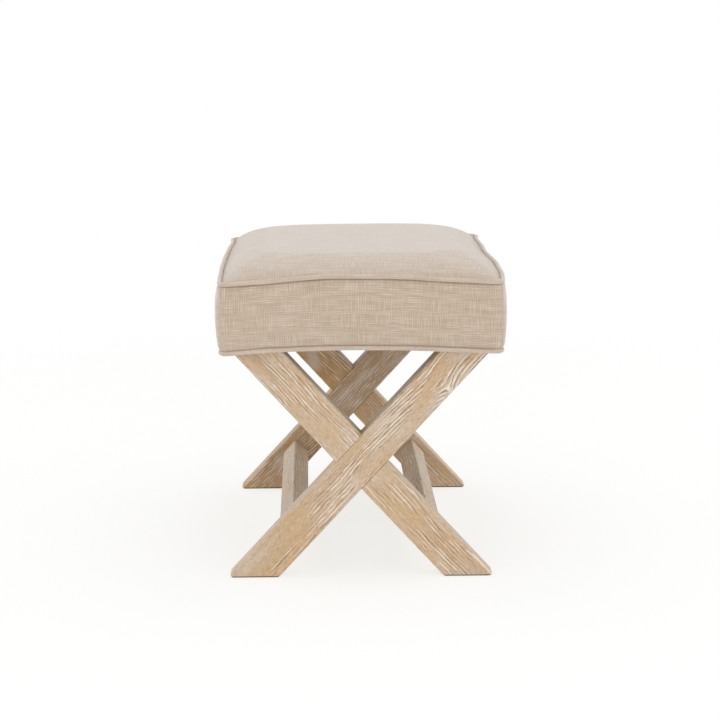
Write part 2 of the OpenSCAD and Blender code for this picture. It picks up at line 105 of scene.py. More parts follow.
# %% Seam lines, from the frame
WELT_R = 3.5 * MM
WELT_SIDES = 8
WELT_FLAT = WELT_R * math.cos(math.pi / WELT_SIDES)
CORNER_R = 19 * MM
DRAW_IN = 2 * MM
DRAW_POWER = 6
TOP_RISE = 8.3 * MM
LOW_RISE = 6 * MM
LOW_DROP = 1.5 * MM
LOW_TUCK = 1.2 * MM

welt_low, welt_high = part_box("top_welt")
HALF_X = welt_high.x - WELT_FLAT
HALF_Y = welt_high.y - WELT_FLAT
TOP_Z = welt_low.z + WELT_FLAT
welt_low, welt_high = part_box("bottom_welt")
LOW_Z = welt_low.z + WELT_FLAT - LOW_DROP
LOW_IN = HALF_X - (welt_high.x - WELT_FLAT) + LOW_TUCK


def side_sizes(side):
    """Half a side's own length, and its distance from the middle. Side 0 is the front, then 1 right, 2 rear
    and 3 left."""
    return (HALF_X, HALF_Y) if side % 2 == 0 else (HALF_Y, HALF_X)


def side_length(side):
    """Length of a side's seam line, from the middle of one rounded corner to the middle of the next."""
    return 2 * (side_sizes(side)[0] - CORNER_R) + CORNER_R * math.pi / 2


def on_loop(side, s, grow=0.0):
    """The point at run s on a side's seam line, pushed outwards by grow."""
    half, away = side_sizes(side)
    straight = half - CORNER_R
    arc = CORNER_R * math.pi / 4
    run = s - arc - straight
    bend = math.copysign(max(abs(run) - straight, 0.0) / CORNER_R, run)
    out = grow - DRAW_IN * (1 - abs(run / (straight + arc)) ** DRAW_POWER)
    t = max(-straight, min(straight, run)) + (CORNER_R + out) * math.sin(bend)
    n = away - CORNER_R + (CORNER_R + out) * math.cos(bend)
    turn = math.radians(90 * side - 90)
    return Vector((n * math.cos(turn) - t * math.sin(turn), n * math.sin(turn) + t * math.cos(turn), 0))


def rise_at(x, y, rise):
    """How far a seam line that rises towards its middles stands above its corners."""
    return rise * (1 - (x / HALF_X * y / HALF_Y) ** 2)


print("seam line, mm:", round(2 * HALF_X / MM), "x", round(2 * HALF_Y / MM))
print("height of the two welts, mm:", round(LOW_Z / MM), round(TOP_Z / MM))

# %% [markdown]
# ## A cover sewn by hand
# No sewn cover is even: this one's corners stand at slightly different heights, and its long welts wander
# by a few millimetres. Modelling each piece crooked would make neighbours miss each other. So the cover
# is first worked out even, and one function then moves any of its points to where it lies on the real
# seat, which keeps the seams together.

# %% The hand-sewn unevenness
# Corners are named by the signs of x and y. In the lists below, each pair is a place along a welt, from
# -1 at its front or left end to 1, and how many millimetres it stands outwards or upwards there.
CORNER_LIFT = {(-1, -1): -0.5 * MM, (1, -1): 3.5 * MM, (1, 1): -6.5 * MM, (-1, 1): -11 * MM}
RIGHT_WANDER = [(-1, -4.2), (-0.76, 1), (-0.5, 1.5), (-0.08, -3.5), (0.32, -0.3), (0.6, 1), (1, 8)]
LEFT_WANDER = [
    (-1, -3), (-0.76, -1.2), (-0.55, -0.2), (-0.24, -0.6), (0.1, -1.6), (0.57, -3.8), (0.9, 0), (1, -0.5)
]
TOP_WAVE = [(-1, -0.8), (-0.73, -0.7), (-0.22, 3), (0.1, 1.9), (0.68, -2.2), (1, -2.1)]
LOW_WAVE = [(-1, -3), (-0.6, -0.5), (-0.2, 0.2), (0.2, 0), (0.7, -1.3), (1, -1)]
LIFT_POWER = 2
HEIGHT_POWER = 2
EDGE_POWER = 4


def smooth_through(points, t):
    """Value at t of an eased line through (place, value) points."""
    for (t0, a), (t1, b) in zip(points, points[1:]):
        if t <= t1:
            k = min(1.0, max(0.0, (t - t0) / (t1 - t0)))
            return a + (b - a) * k * k * (3 - 2 * k)
    return points[-1][1]


def as_sewn(point):
    """Where a point of the even cover lies on the hand-sewn one."""
    x, y, z = point
    u = x / HALF_X
    v = max(-1.0, min(1.0, y / HALF_Y))
    height = max(0.0, min(1.0, (z - LOW_Z) / (TOP_Z - LOW_Z)))
    wander = smooth_through(RIGHT_WANDER, v) if x > 0 else -smooth_through(LEFT_WANDER, v)
    lift = 0
    for (sx, sy), dz in CORNER_LIFT.items():
        share = (1 + sx * max(-1.0, min(1.0, u))) * (1 + sy * v) / 4
        lift += dz * share**LIFT_POWER
    top_wave = smooth_through(TOP_WAVE, u) * height**HEIGHT_POWER
    wave = top_wave + smooth_through(LOW_WAVE, u) * (1 - height) ** HEIGHT_POWER
    wave *= max(0.0, -v) ** EDGE_POWER * MM
    return Vector((x + wander * MM * u**EDGE_POWER * height, y, z + lift * height**HEIGHT_POWER + wave))


rear_left = Vector((-HALF_X, HALF_Y, TOP_Z))
print("rear left corner moves by, mm:", (as_sewn(rear_left) - rear_left) / MM)

# %% [markdown]
# ## Small helpers for meshes
# A cloth panel is a flat grid before it is sewn in, so each panel starts from the grid operator and a
# rule that says where a point of the cut cloth goes. The grid's lines are closer beside the seams, where
# the cloth turns sharply. The cut cloth's own coordinates are kept as a UV map, so that weave and slubs
# follow the cloth.

# %% Mesh helpers
SEAM_STEPS = [0, 0.9, 1.9, 3.2, 5.2, 8.5]
PITCH = 6 * MM
MERGE = 0.05 * MM
MERGE_EXACT = 0.01 * MM


def stops(length):
    """Places of the grid lines along a cut edge, closer together beside both seams."""
    near = [s * MM for s in SEAM_STEPS]
    middle = length - 2 * near[-1]
    count = round(middle / PITCH)
    between = [near[-1] + middle * i / count for i in range(1, count)]
    return near + between + [length - s for s in reversed(near)]


def even_stops(length, count):
    """Places of grid lines that are all the same distance apart."""
    return [length * i / count for i in range(count + 1)]


def finish_piece(name, bm, material=None):
    """Turns a bmesh into a named piece that rides on the body and takes its finish from a slot."""
    mesh = bpy.data.meshes.new(name)
    bm.to_mesh(mesh)
    bm.free()
    piece = bpy.data.objects.new(name, mesh)
    scene.collection.objects.link(piece)
    for face in mesh.polygons:
        face.use_smooth = True
    if material:
        mesh.materials.append(material)
    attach(piece, "root")
    return piece


def cloth_grid(us, vs, place, shaded=None):
    """A grid whose line i, j is laid at place(us[i], vs[j]), with the cut cloth's own coordinates as its UV
    map. shaded, if given, is a rule for how deep the painted shade of a seam's fold is at a point, from 0 to
    1."""
    bm = bmesh.new()
    layer = bm.loops.layers.uv.new("cloth")
    fold = bm.verts.layers.float.new("painted_seam_shade")
    bmesh.ops.create_grid(bm, x_segments=len(us) - 1, y_segments=len(vs) - 1, size=1)
    cut = {}
    for vert in bm.verts:
        u = us[round((vert.co.x + 1) / 2 * (len(us) - 1))]
        v = vs[round((vert.co.y + 1) / 2 * (len(vs) - 1))]
        cut[vert] = (u, v)
        vert.co = place(u, v)
        vert[fold] = shaded(u, v) if shaded else 0.0
    for face in bm.faces:
        for loop in face.loops:
            loop[layer].uv = cut[loop.vert]
    return bm


def add_modifier(piece, kind, **settings):
    """Adds a modifier of a kind, with its settings."""
    modifier = piece.modifiers.new(kind.lower(), kind)
    for name, value in settings.items():
        setattr(modifier, name, value)
    return modifier


print("grid lines over 100 mm:", len(stops(100 * MM)))

# %% [markdown]
# ## Small helpers for materials
# Colours are written as they would be read off a colour card, in sRGB, and turned to linear light by one
# function, with the numbers of that standard. Material nodes could be added by hand each time. One small
# function that adds a node, sets its sockets and joins it up keeps the trees readable.

# %% Material helpers


def colour(code):
    """A linear colour from an sRGB hex code."""
    parts = [int(code[i : i + 2], 16) / 255 for i in (1, 3, 5)]
    return [c / 12.92 if c <= 0.04045 else ((c + 0.055) / 1.055) ** 2.4 for c in parts] + [1.0]


def add(tree, kind, sockets=None, **settings):
    """Adds a node of a kind. sockets maps an input's name or number to a value or another node's output."""
    node = tree.nodes.new("ShaderNode" + kind)
    for name, value in settings.items():
        setattr(node, name, value)
    for key, value in (sockets or {}).items():
        if isinstance(key, str):
            socket = next(s for s in node.inputs if s.enabled and s.name == key)
        else:
            socket = node.inputs[key]
        if isinstance(value, bpy.types.NodeSocket):
            tree.links.new(value, socket)
        else:
            socket.default_value = value
    return next(s for s in node.outputs if s.enabled)


def new_material(name):
    """An empty node material, and its tree."""
    material = bpy.data.materials.new(name)
    material.use_nodes = True
    material.node_tree.nodes.clear()
    return material, material.node_tree


def add_output(tree, shader):
    """Joins a shader to the material's output."""
    output = tree.nodes.new("ShaderNodeOutputMaterial")
    tree.links.new(shader, output.inputs["Surface"])


print("linear value of mid grey:", round(colour("#808080")[0], 3))

# %% [markdown]
# ## Slubbed linen
# The cover is a plain-woven linen. Its yarn is spun unevenly, so thick places, the slubs, show as short
# light and dark lines: long ones along the weft, shorter ones along the warp, in patches. The cloth is
# matt, with a soft sheen at grazing angles from loose fibres. The real threads lie 0.8 mm apart, too fine
# to show from three metres, so they are drawn 3.5 mm apart. The pattern reads the cut cloth's UV map, in
# metres, and stretches noise along each thread direction. Deep in a seam's fold the colour is darkened:
# this is painted shade, read from an attribute that each panel carries.

# %% Linen
# Sizes are in mm of cloth, along the weft first and then along the warp. Slubs start to show at the first
# value of the noise, are full at the second, and are mixed in by the third. Each thread strays a little
# sideways along its run.
THREAD = 3.5
THREAD_SHARE = 0.085
STRAY = 2
STRAY_OVER = 28
WEFT_SLUB = (30, 1.0)
WARP_SLUB = (1.2, 26)
WARP_SHIFT = 31
LIGHT_SLUBS = (0.54, 0.74, 0.95)
DARK_SLUBS = (0.49, 0.3, 1.15)
PATCH = 60
BUNDLE = (60, 6)
# The colour of the painted shade in a seam's fold.
PAINTED_SEAM_SHADE = "#72532f"


def slubbed_linen(name, weft, warp, base, light, dark, seed):
    """Plain-woven linen with weft and warp slubs of given strengths."""
    material, t = new_material(name)
    cloth = add(t, "UVMap", uv_map="cloth")
    in_mm = (1 / MM, 1 / MM, 1 / MM)
    mm = add(t, "Mapping", {"Vector": cloth, "Location": (seed, seed, 0), "Scale": in_mm})
    stray = add(t, "TexNoise", {"Vector": mm, "Scale": 1 / STRAY_OVER, "Detail": 1}).node.outputs["Color"]
    strayed = add(t, "VectorMath", {0: stray, 1: (STRAY, STRAY, 0), 2: mm}, operation="MULTIPLY_ADD")
    turns = add(t, "VectorMath", {0: strayed, "Scale": 2 * math.pi / THREAD}, operation="SCALE")
    threads = add(t, "VectorMath", {0: turns}, operation="SINE")
    threads = add(t, "SeparateXYZ", {0: threads}).node.outputs
    slubs = []
    for size, thread, shift in ((WEFT_SLUB, threads[1], 0), (WARP_SLUB, threads[0], WARP_SHIFT)):
        stretch = (1 / size[0], 1 / size[1], 1)
        along = add(t, "Mapping", {"Vector": strayed, "Location": (shift, shift, 0), "Scale": stretch})
        slub = add(t, "TexNoise", {"Vector": along, "Scale": 1, "Detail": 1.5, "Roughness": 0.6})
        slubs.append(add(t, "Math", {0: thread, 1: THREAD_SHARE, 2: slub}, operation="MULTIPLY_ADD"))
    patch = add(t, "TexNoise", {"Vector": mm, "Scale": 1 / PATCH, "Detail": 1})
    weft_here = {"Value": patch, "From Min": 0.4, "From Max": 0.6, "To Min": weft, "To Max": weft / 2}
    warp_here = {"Value": patch, "From Min": 0.42, "From Max": 0.6, "To Min": 0.25, "To Max": warp}
    strengths = [add(t, "MapRange", here) for here in (weft_here, warp_here)]
    tone = add(t, "Mapping", {"Vector": strayed, "Scale": (1 / BUNDLE[0], 1 / BUNDLE[1], 1)})
    tone = add(t, "TexNoise", {"Vector": tone, "Scale": 1, "Detail": 2})
    tone = add(t, "MapRange", {"Value": tone, "From Min": 0.25, "From Max": 0.75, "To Max": 0.75})
    shade = add(t, "Mix", {"Factor": tone, "A": colour(base), "B": colour(dark)}, data_type="RGBA")
    for slub, strength in zip(slubs, strengths):
        for tint, (start, full, share) in ((light, LIGHT_SLUBS), (dark, DARK_SLUBS)):
            thick = {"Value": slub, "From Min": start, "From Max": full, "To Max": share}
            thick = add(t, "MapRange", thick)
            seen = add(t, "Math", {0: thick, 1: strength}, operation="MULTIPLY")
            shade = add(t, "Mix", {"Factor": seen, "A": shade, "B": colour(tint)}, data_type="RGBA")
    # Painted shade: the cloth is darkened towards its seams, as deep as each panel's rule gives.
    seam = add(t, "Attribute", attribute_name="painted_seam_shade").node.outputs["Fac"]
    shade = add(t, "Mix", {"Factor": seam, "A": shade, "B": colour(PAINTED_SEAM_SHADE)}, data_type="RGBA")
    height = add(t, "Math", {0: slubs[0], 1: slubs[1]}, operation="ADD")
    surface = {
        "Base Color": shade,
        "Roughness": 0.92,
        "Specular IOR Level": 0.25,
        "Sheen Weight": 0.83,
        "Sheen Roughness": 0.5,
        "Sheen Tint": colour("#f2f1f1"),
        "Normal": add(t, "Bump", {"Height": height, "Strength": 0.5, "Distance": 0.5 * MM}),
    }
    add_output(t, add(t, "BsdfPrincipled", surface))
    return material


linen = slubbed_linen(
    "slubbed_linen_plain_weave",
    weft=0.6,
    warp=0.5,
    base="#d1bfad",
    light="#ede1d2",
    dark="#b49e85",
    seed=0,
)
# The piping's sleeve is the same cloth as the panels, but its tones are drawn paler: painted light, for the
# light its round top catches.
piping_linen_painted_light = slubbed_linen(
    "slubbed_linen_piping_painted_light",
    weft=0.25,
    warp=0.3,
    base="#d9c7b6",
    light="#f2e6d8",
    dark="#bca690",
    seed=400,
)
print("linen materials:", linen.name, piping_linen_painted_light.name)

# %% [markdown]
# ## The panels of the cover
# Five panels are sewn to two piped seams: a crowned top and four bands, with a seam in the middle of each
# of the four corners. A closed box with bevels would do at a distance, but seams, tucks and weave need
# real panels. So each is a cut of cloth with its edges tucked under the welts, and a rule lays it over
# the filling. The rule gives nearly the final shape, and a cloth simulation then blows the panel up by
# the last few millimetres.

# %% Shape of the panels
CROWN = 22.9 * MM
SIDE_POWER = 9.8
FRONT_POWER = 8
REAR_POWER = 6.6
BAND_OUT = 2.6 * MM
BULGE = 3.7 * MM
BULGE_POWER = 0.6
TUCK = 4.2 * MM
TUCK_LENGTH = 1.5 * MM
SEAM_DIP = 0.7 * MM
SEAM_LENGTH = 1.6 * MM
TOP_EDGE_IN = WELT_R + 0.1 * MM
BAND_START = 3 * MM


def round_corner(x, y, half_x, half_y, radius):
    """Moves a point of a square-cornered panel onto one with rounded corners."""
    px = max(0.0, (abs(x) - half_x + radius) / radius)
    py = max(0.0, (abs(y) - half_y + radius) / radius)
    if px == 0 or py == 0:
        return x, y
    qx = half_x - radius + radius * px * math.sqrt(1 - py * py / 2)
    qy = half_y - radius + radius * py * math.sqrt(1 - px * px / 2)
    return math.copysign(qx, x), math.copysign(qy, y)


def crowned(x, y, s, t):
    """Height of the top panel at x, y. s and t run from -1 to 1 across it, level inside and down to the rim
    outside. The wadding is fuller along the front edge, so the crown's shoulder is squarer there."""
    rim = TOP_Z + rise_at(x, y, TOP_RISE)
    level = TOP_Z + TOP_RISE + CROWN
    power = REAR_POWER if t > 0 else FRONT_POWER
    share = (1 - min(1.0, abs(s)) ** SIDE_POWER) * (1 - min(1.0, abs(t)) ** power)
    return rim + (level - rim) * share


print("level of the crown, mm:", round((TOP_Z + TOP_RISE + CROWN) / MM))

# %% [markdown]
# ## Gathers beside a seam, and the rules for laying the cloth
# Sewing draws cloth up into small uneven gathers, which die away from the seam. They could be sculpted by
# hand. Two layers of noise along the seam's run give them by rule, the same each time. With them, one
# rule lays the top panel and another lays all four bands.

# %% Rules for the top and the bands
PUCKER = 0.35 * MM
PUCKER_REACH = 9 * MM
PUCKER_START = 2 * MM
GATHER = 11 * MM
FINE_GATHER = 5 * MM
FINE_SHARE = 0.6
FINE_LAYER = 7
TOP_GATHERS = 3
BAND_GATHERS = (11, 23)


def pucker(run, depth, seed):
    """Small uneven gathers that die away from a seam."""
    fine = noise.noise(Vector((run / FINE_GATHER, seed, FINE_LAYER)))
    wave = noise.noise(Vector((run / GATHER, seed, 0))) + FINE_SHARE * fine
    return PUCKER * wave * math.exp(-depth / PUCKER_REACH) * min(1.0, depth / PUCKER_START)


def on_top(u, v):
    """Where a point of the cut top panel lies."""
    half_x = HALF_X - TOP_EDGE_IN
    half_y = HALF_Y - TOP_EDGE_IN
    s = u / half_x - 1
    t = v / half_y - 1
    x, y = round_corner(s * half_x, t * half_y, half_x, half_y, CORNER_R - TOP_EDGE_IN)
    x -= s * DRAW_IN * (1 - abs(t) ** DRAW_POWER)
    y -= t * DRAW_IN * (1 - abs(s) ** DRAW_POWER)
    edge = min((1 - abs(s)) * half_x, (1 - abs(t)) * half_y)
    run = u if (1 - abs(t)) * half_y < (1 - abs(s)) * half_x else v
    lift = pucker(run, edge, TOP_GATHERS) if edge > 0 else 0
    return as_sewn((x, y, crowned(x, y, s, t) + lift))


def on_band(side, s, share):
    """Where a point of a cut band lies: s runs along the seam line, share from its bottom to its top."""
    length = side_length(side)
    line = on_loop(side, s)
    low = LOW_Z + rise_at(line.x, line.y, LOW_RISE) + BAND_START
    top = TOP_Z + rise_at(line.x, line.y, TOP_RISE) - BAND_START
    z = low + (top - low) * share
    bulge = BULGE * math.sin(math.pi * share) ** BULGE_POWER
    tuck = TUCK * (math.exp((z - top) / TUCK_LENGTH) + math.exp((low - z) / TUCK_LENGTH))
    dip = SEAM_DIP * math.exp(-min(s, length - s) / SEAM_LENGTH)
    out = BAND_OUT + bulge - tuck - dip
    out -= LOW_IN * (1 - share)
    run = s + side * length
    out += pucker(run, top - z, BAND_GATHERS[0]) + pucker(run, z - low, BAND_GATHERS[1])
    point = on_loop(side, s, out)
    point.z = z
    return as_sewn(point)


print("crown over the rim, mm:", round((on_top(HALF_X, HALF_Y).z - on_top(0, HALF_Y).z) / MM, 1))

# %% [markdown]
# ## Stretching a panel over the filling
# Upholstery cloth is pulled over foam and wadding that press outwards, and is held along its seams.
# Blender's Cloth does the same: its edges are pinned, a pressure pushes outwards, gravity is off and a
# slight shrinkage keeps it taut. How far a point may move is capped, because the panel is nearly in shape
# to start with. The result is written into the mesh, so nothing is live.

# %% Cloth simulation
SIM_FRAMES = 20
SWELL_CAP = 2.6 * MM
SMOOTH_PASSES = 10
CLOTH_SETTINGS = {
    "quality": 5,
    "mass": 0.3,
    "tension_stiffness": 15,
    "compression_stiffness": 15,
    "bending_stiffness": 0.8,
    "use_pressure": True,
    "uniform_pressure_force": 4.0,
    "shrink_min": 0.0005,
}


def evened(moves, links, fixed):
    """Moves of a mesh's points, averaged with their neighbours', which irons small wrinkles out."""
    for _ in range(SMOOTH_PASSES):
        near = [sum((moves[j] for j in links[i]), Vector()) / len(links[i]) for i in range(len(moves))]
        moves = [move if i in fixed else (move + near[i]) / 2 for i, move in enumerate(moves)]
    return moves


def edge_and_links(mesh):
    """The points on a mesh's rim, and each point's neighbours."""
    bm = bmesh.new()
    bm.from_mesh(mesh)
    bm.verts.index_update()
    edge = [v.index for v in bm.verts if v.is_boundary]
    links = [[e.other_vert(v).index for e in v.link_edges] for v in bm.verts]
    bm.free()
    return edge, links


def swell(piece):
    """Blows a pinned panel up by a few millimetres and writes the result into its mesh."""
    mesh = piece.data
    before = [v.co.copy() for v in mesh.vertices]
    edge, links = edge_and_links(mesh)
    pins = piece.vertex_groups.new(name="seam")
    pins.add(edge, 1.0, "REPLACE")
    cloth = piece.modifiers.new("stretch", "CLOTH")
    for name, value in CLOTH_SETTINGS.items():
        setattr(cloth.settings, name, value)
    cloth.settings.vertex_group_mass = pins.name
    cloth.settings.effector_weights.gravity = 0
    cloth.collision_settings.use_collision = False
    cloth.point_cache.frame_end = SIM_FRAMES
    for number in range(1, SIM_FRAMES + 1):
        scene.frame_set(number)
    shaped = piece.evaluated_get(bpy.context.evaluated_depsgraph_get()).data
    after = [v.co.copy() for v in shaped.vertices]
    piece.modifiers.remove(cloth)
    piece.vertex_groups.remove(pins)
    moves = evened([new - old for old, new in zip(before, after)], links, set(edge))
    for vert, old, move in zip(mesh.vertices, before, moves):
        share = SWELL_CAP / move.length if move.length > SWELL_CAP else 1.0
        vert.co = old + move * share
    scene.frame_set(1)
    moves = [(v.co - old).length / MM for v, old in zip(mesh.vertices, before)]
    mean = sum(moves) / len(moves)
    print(piece.name, "swelled by, mm:", round(mean, 2), "and by up to", round(max(moves), 2))


# %% [markdown]
# ## Cutting and laying the five panels
# Each panel is laid, stretched by the simulation and then given the cloth's thickness. Subdivision
# smooths the grid and Solidify adds the wall inwards, so that the outside stays where the seams are. The
# size each was cut to, its length along its own rows, is printed.

# %% Panels
# Painted shade in a seam's fold: how dark it is painted, and how far from the seam that reaches. The three
# are for the sides, the front and the rear of the top, and for the ends, the bottom and the top of a band.
CLOTH_T = 1.2 * MM
TOP_PAINTED_SHADE = ((0.7, 1.2 * MM), (0.28, 6 * MM), (0.3, 3 * MM))
BAND_PAINTED_SHADE = ((0.15, 0.9 * MM), (0.5, 0.8 * MM), (0.8, 0.8 * MM))
BAND_HEIGHT = TOP_Z - LOW_Z - 2 * BAND_START
SIDES = ("front", "right", "rear", "left")


def row_length(points):
    """Length along a row of points."""
    return sum((b - a).length for a, b in zip(points, points[1:]))


def painted_fold_shade(u, v, us, vs, painted_shades):
    """How deep the painted shade of a seam's fold is at a point."""
    runs = (min(u, us[-1] - u), v, vs[-1] - v)
    return max(depth * math.exp(-run / reach) for run, (depth, reach) in zip(runs, painted_shades))


def lay_panel(name, node, us, vs, place, painted_shades):
    """One panel of the cover, from its cut size to a finished piece."""
    grid = cloth_grid(us, vs, place, lambda u, v: painted_fold_shade(u, v, us, vs, painted_shades))
    piece = finish_piece(name, grid, linen)
    middle_u = us[len(us) // 2]
    middle_v = vs[len(vs) // 2]
    flat = (row_length([place(u, middle_v) for u in us]), row_length([place(middle_u, v) for v in vs]))
    swell(piece)
    add_modifier(piece, "SUBSURF", levels=1, render_levels=1)
    add_modifier(piece, "SOLIDIFY", thickness=CLOTH_T, offset=-1)
    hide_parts(node)
    print(name, "cut to, mm:", round(flat[0] / MM), "x", round(flat[1] / MM))


lay_panel(
    "cover_top",
    "top_panel",
    stops(2 * (HALF_X - TOP_EDGE_IN)),
    stops(2 * (HALF_Y - TOP_EDGE_IN)),
    on_top,
    TOP_PAINTED_SHADE,
)
for side, side_name in enumerate(SIDES):
    lay_panel(
        "cover_" + side_name,
        side_name + "_band",
        stops(side_length(side)),
        stops(BAND_HEIGHT),
        lambda u, v, side=side: on_band(side, u, v / BAND_HEIGHT),
        BAND_PAINTED_SHADE,
    )

# %% [markdown]
# ## Piping
# The welt is a cord in a sleeve of the same linen, cut straight, so its weft runs round the cord and
# shows as small upright ticks. A curve with a round bevel gives a tube too, but a grid wrapped round the
# seam line keeps the cloth's own coordinates. It is closed by merging its doubles. Its thickness varies a
# little, as a hand-fed cord's does, and the lower cord lies slightly further in than its seam.

# %% Piping
CORD_SIDES = 14
CORD_PITCH = 3 * MM
CORD_UNEVEN = 0.05
CORD_UNEVEN_OVER = 21 * MM
LOW_CORD_IN = 0.3 * MM
STEP = 1 * MM


def piping(name, node, base_z, rise, shrink):
    """A cord in its linen sleeve, right round the seat."""
    runs = [(side, side_length(side)) for side in range(len(SIDES))]
    total = sum(length for _, length in runs)

    def centre(run):
        run = run % total
        for side, length in runs:
            if run < length:
                break
            run -= length
        line = on_loop(side, run, -shrink)
        line.z = base_z + rise_at(line.x, line.y, rise)
        return line

    def place(run, around):
        here = centre(run)
        ahead = centre(run + STEP) - centre(run - STEP)
        side_way = ahead.cross(Vector((0, 0, 1))).normalized()
        angle = around / WELT_R
        uneven = noise.noise(Vector((run / CORD_UNEVEN_OVER, base_z / MM, 0)))
        thick = WELT_R * (1 + CORD_UNEVEN * uneven)
        return as_sewn(here + thick * (side_way * math.cos(angle) + Vector((0, 0, math.sin(angle)))))

    along = even_stops(total, round(total / CORD_PITCH))
    bm = cloth_grid(along, even_stops(2 * math.pi * WELT_R, CORD_SIDES), place)
    bmesh.ops.remove_doubles(bm, verts=bm.verts, dist=MERGE)
    bmesh.ops.recalc_face_normals(bm, faces=bm.faces)
    piece = finish_piece(name, bm, piping_linen_painted_light)
    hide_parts(node)
    print(name, "cord length, mm:", round(total / MM))


piping("piping_top", "top_welt", TOP_Z, TOP_RISE, 0)
piping("piping_bottom", "bottom_welt", LOW_Z, LOW_RISE, LOW_IN + LOW_CORD_IN)

# %% [markdown]
# ## Foam and wadding
# The filling never shows, but it is what the cloth rests on. Both pieces are made from copies of their
# solids in the frame: merged, remeshed evenly, smoothed and drawn in slightly so that they stay clear of
# the cover.

# %% Filling
FILL_VOXEL = 7 * MM
FILL_CLEAR = 2.2 * MM
FILL_IN = 16 * MM
FILL_PASSES = 4


def filling(name, node):
    """A soft inner piece from a copy of its solid, pressed down where the cover lies below the solid."""
    under_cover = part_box("wadding")[1].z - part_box(node)[1].z + FILL_CLEAR
    bm = bmesh.new()
    bm.from_mesh(nodes[node].data)
    bmesh.ops.remove_doubles(bm, verts=bm.verts, dist=MERGE_EXACT)
    bmesh.ops.recalc_face_normals(bm, faces=bm.faces)
    piece = finish_piece(name, bm)
    remesh = add_modifier(piece, "REMESH", mode="VOXEL", voxel_size=FILL_VOXEL, use_smooth_shade=True)
    shaped = piece.evaluated_get(bpy.context.evaluated_depsgraph_get())
    piece.data = bpy.data.meshes.new_from_object(shaped)
    piece.modifiers.remove(remesh)
    bm = bmesh.new()
    bm.from_mesh(piece.data)
    for _ in range(FILL_PASSES):
        bmesh.ops.smooth_vert(
            bm, verts=bm.verts, factor=0.5, use_axis_x=True, use_axis_y=True, use_axis_z=True
        )
    bm.normal_update()
    for vert in bm.verts:
        x, y, z = vert.co - vert.normal * FILL_CLEAR
        cover_z = crowned(x, y, x / (HALF_X - FILL_IN), y / (HALF_Y - FILL_IN))
        vert.co = as_sewn((x, y, min(z, cover_z - under_cover)))
    bm.to_mesh(piece.data)
    bm.free()
    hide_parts(node)
    print(name, "faces:", len(piece.data.polygons))
    return piece


foam = filling("foam_block", "foam_core")
wadding = filling("wadding_wrap", "wadding")

# %% [markdown]
# ## Cuts round the legs
# Under the seat the cover is turned in over the rails and stapled, and a black dust cloth hides the
# frame. Both are flat cloths with a square cut round each leg. A boolean could cut them. Here they are
# cut as an upholsterer does it: the cloth is laid whole, slit along the leg's sides, and what covers the
# leg is taken away, which leaves clean faces.

# %% Cuts round the legs
LEG_CLEAR = 0.6 * MM
LEG_END = 1 * MM


def leg_cuts():
    """The four rectangles, in plan, that the legs fill where they pass the underside of the seat."""
    cuts = []
    for node in ("front_left_leg", "front_right_leg", "rear_left_leg", "rear_right_leg"):
        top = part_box(node)[1].z
        end = [v.co for v in nodes[node].data.vertices if v.co.z > top - LEG_END]
        xs = [p.x for p in end]
        ys = [p.y for p in end]
        cuts.append((min(xs) - LEG_CLEAR, max(xs) + LEG_CLEAR, min(ys) - LEG_CLEAR, max(ys) + LEG_CLEAR))
    return cuts


LEG_CUTS = leg_cuts()


def cut_for_legs(bm):
    """Slits a flat cloth along the legs' sides and takes away what covers them."""
    for x0, x1, y0, y1 in LEG_CUTS:
        slits = [((x, 0, 0), (1, 0, 0)) for x in (x0, x1)]
        slits += [((0, y, 0), (0, 1, 0)) for y in (y0, y1)]
        for at, way in slits:
            whole = bm.verts[:] + bm.edges[:] + bm.faces[:]
            bmesh.ops.bisect_plane(bm, geom=whole, dist=MERGE_EXACT, plane_co=at, plane_no=way)
        middles = [(face, face.calc_center_median()) for face in bm.faces]
        over = [face for face, middle in middles if x0 < middle.x < x1 and y0 < middle.y < y1]
        bmesh.ops.delete(bm, geom=over, context="FACES")


print("legs cut round:", len(LEG_CUTS))

# %% [markdown]
# ## The turned edge
# The bands' lower edges are folded in under the rails, with a mitre at each corner. One ring of cloth
# could be inset from the seam line. Four strips that are laid by the seam line's own rule meet in the
# mitres and keep the cloth's coordinates, so the weave goes on. A slight ripple shows that it is thin
# cloth.

# %% Turned edge of the cover
THIN_CLOTH = 0.5 * MM
HEM_WIDTH = 24 * MM
HEM_STEPS = (60, 6)
HEM_CLEAR = 0.3 * MM
RIPPLE = 0.25 * MM
RIPPLE_OVER = 18 * MM
hem_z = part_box("cover_hem")[0].z + THIN_CLOTH + HEM_CLEAR


def on_hem(side, u, v):
    """Where a point of the turned edge lies: u along the seam line, v inwards under the rails."""
    point = on_loop(side, u, -LOW_IN - WELT_R - v)
    point.z = hem_z + RIPPLE * noise.noise(point / RIPPLE_OVER)
    return point


def hem_strips():
    """The turned edge of the cover, four mitred strips under the rails."""
    whole = bmesh.new()
    for side in range(len(SIDES)):
        along = even_stops(side_length(side), HEM_STEPS[0])
        inwards = even_stops(HEM_WIDTH, HEM_STEPS[1])
        strip = cloth_grid(along, inwards, lambda u, v, side=side: on_hem(side, u, v))
        mesh = bpy.data.meshes.new("strip")
        strip.to_mesh(mesh)
        strip.free()
        whole.from_mesh(mesh)
        bpy.data.meshes.remove(mesh)
    bmesh.ops.remove_doubles(whole, verts=whole.verts, dist=MERGE)
    cut_for_legs(whole)
    return whole


hem = finish_piece("cover_turned_edge", hem_strips(), linen)
add_modifier(hem, "SOLIDIFY", thickness=THIN_CLOTH, offset=0)
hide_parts("cover_hem")
print("turned edge, faces:", len(hem.data.polygons))

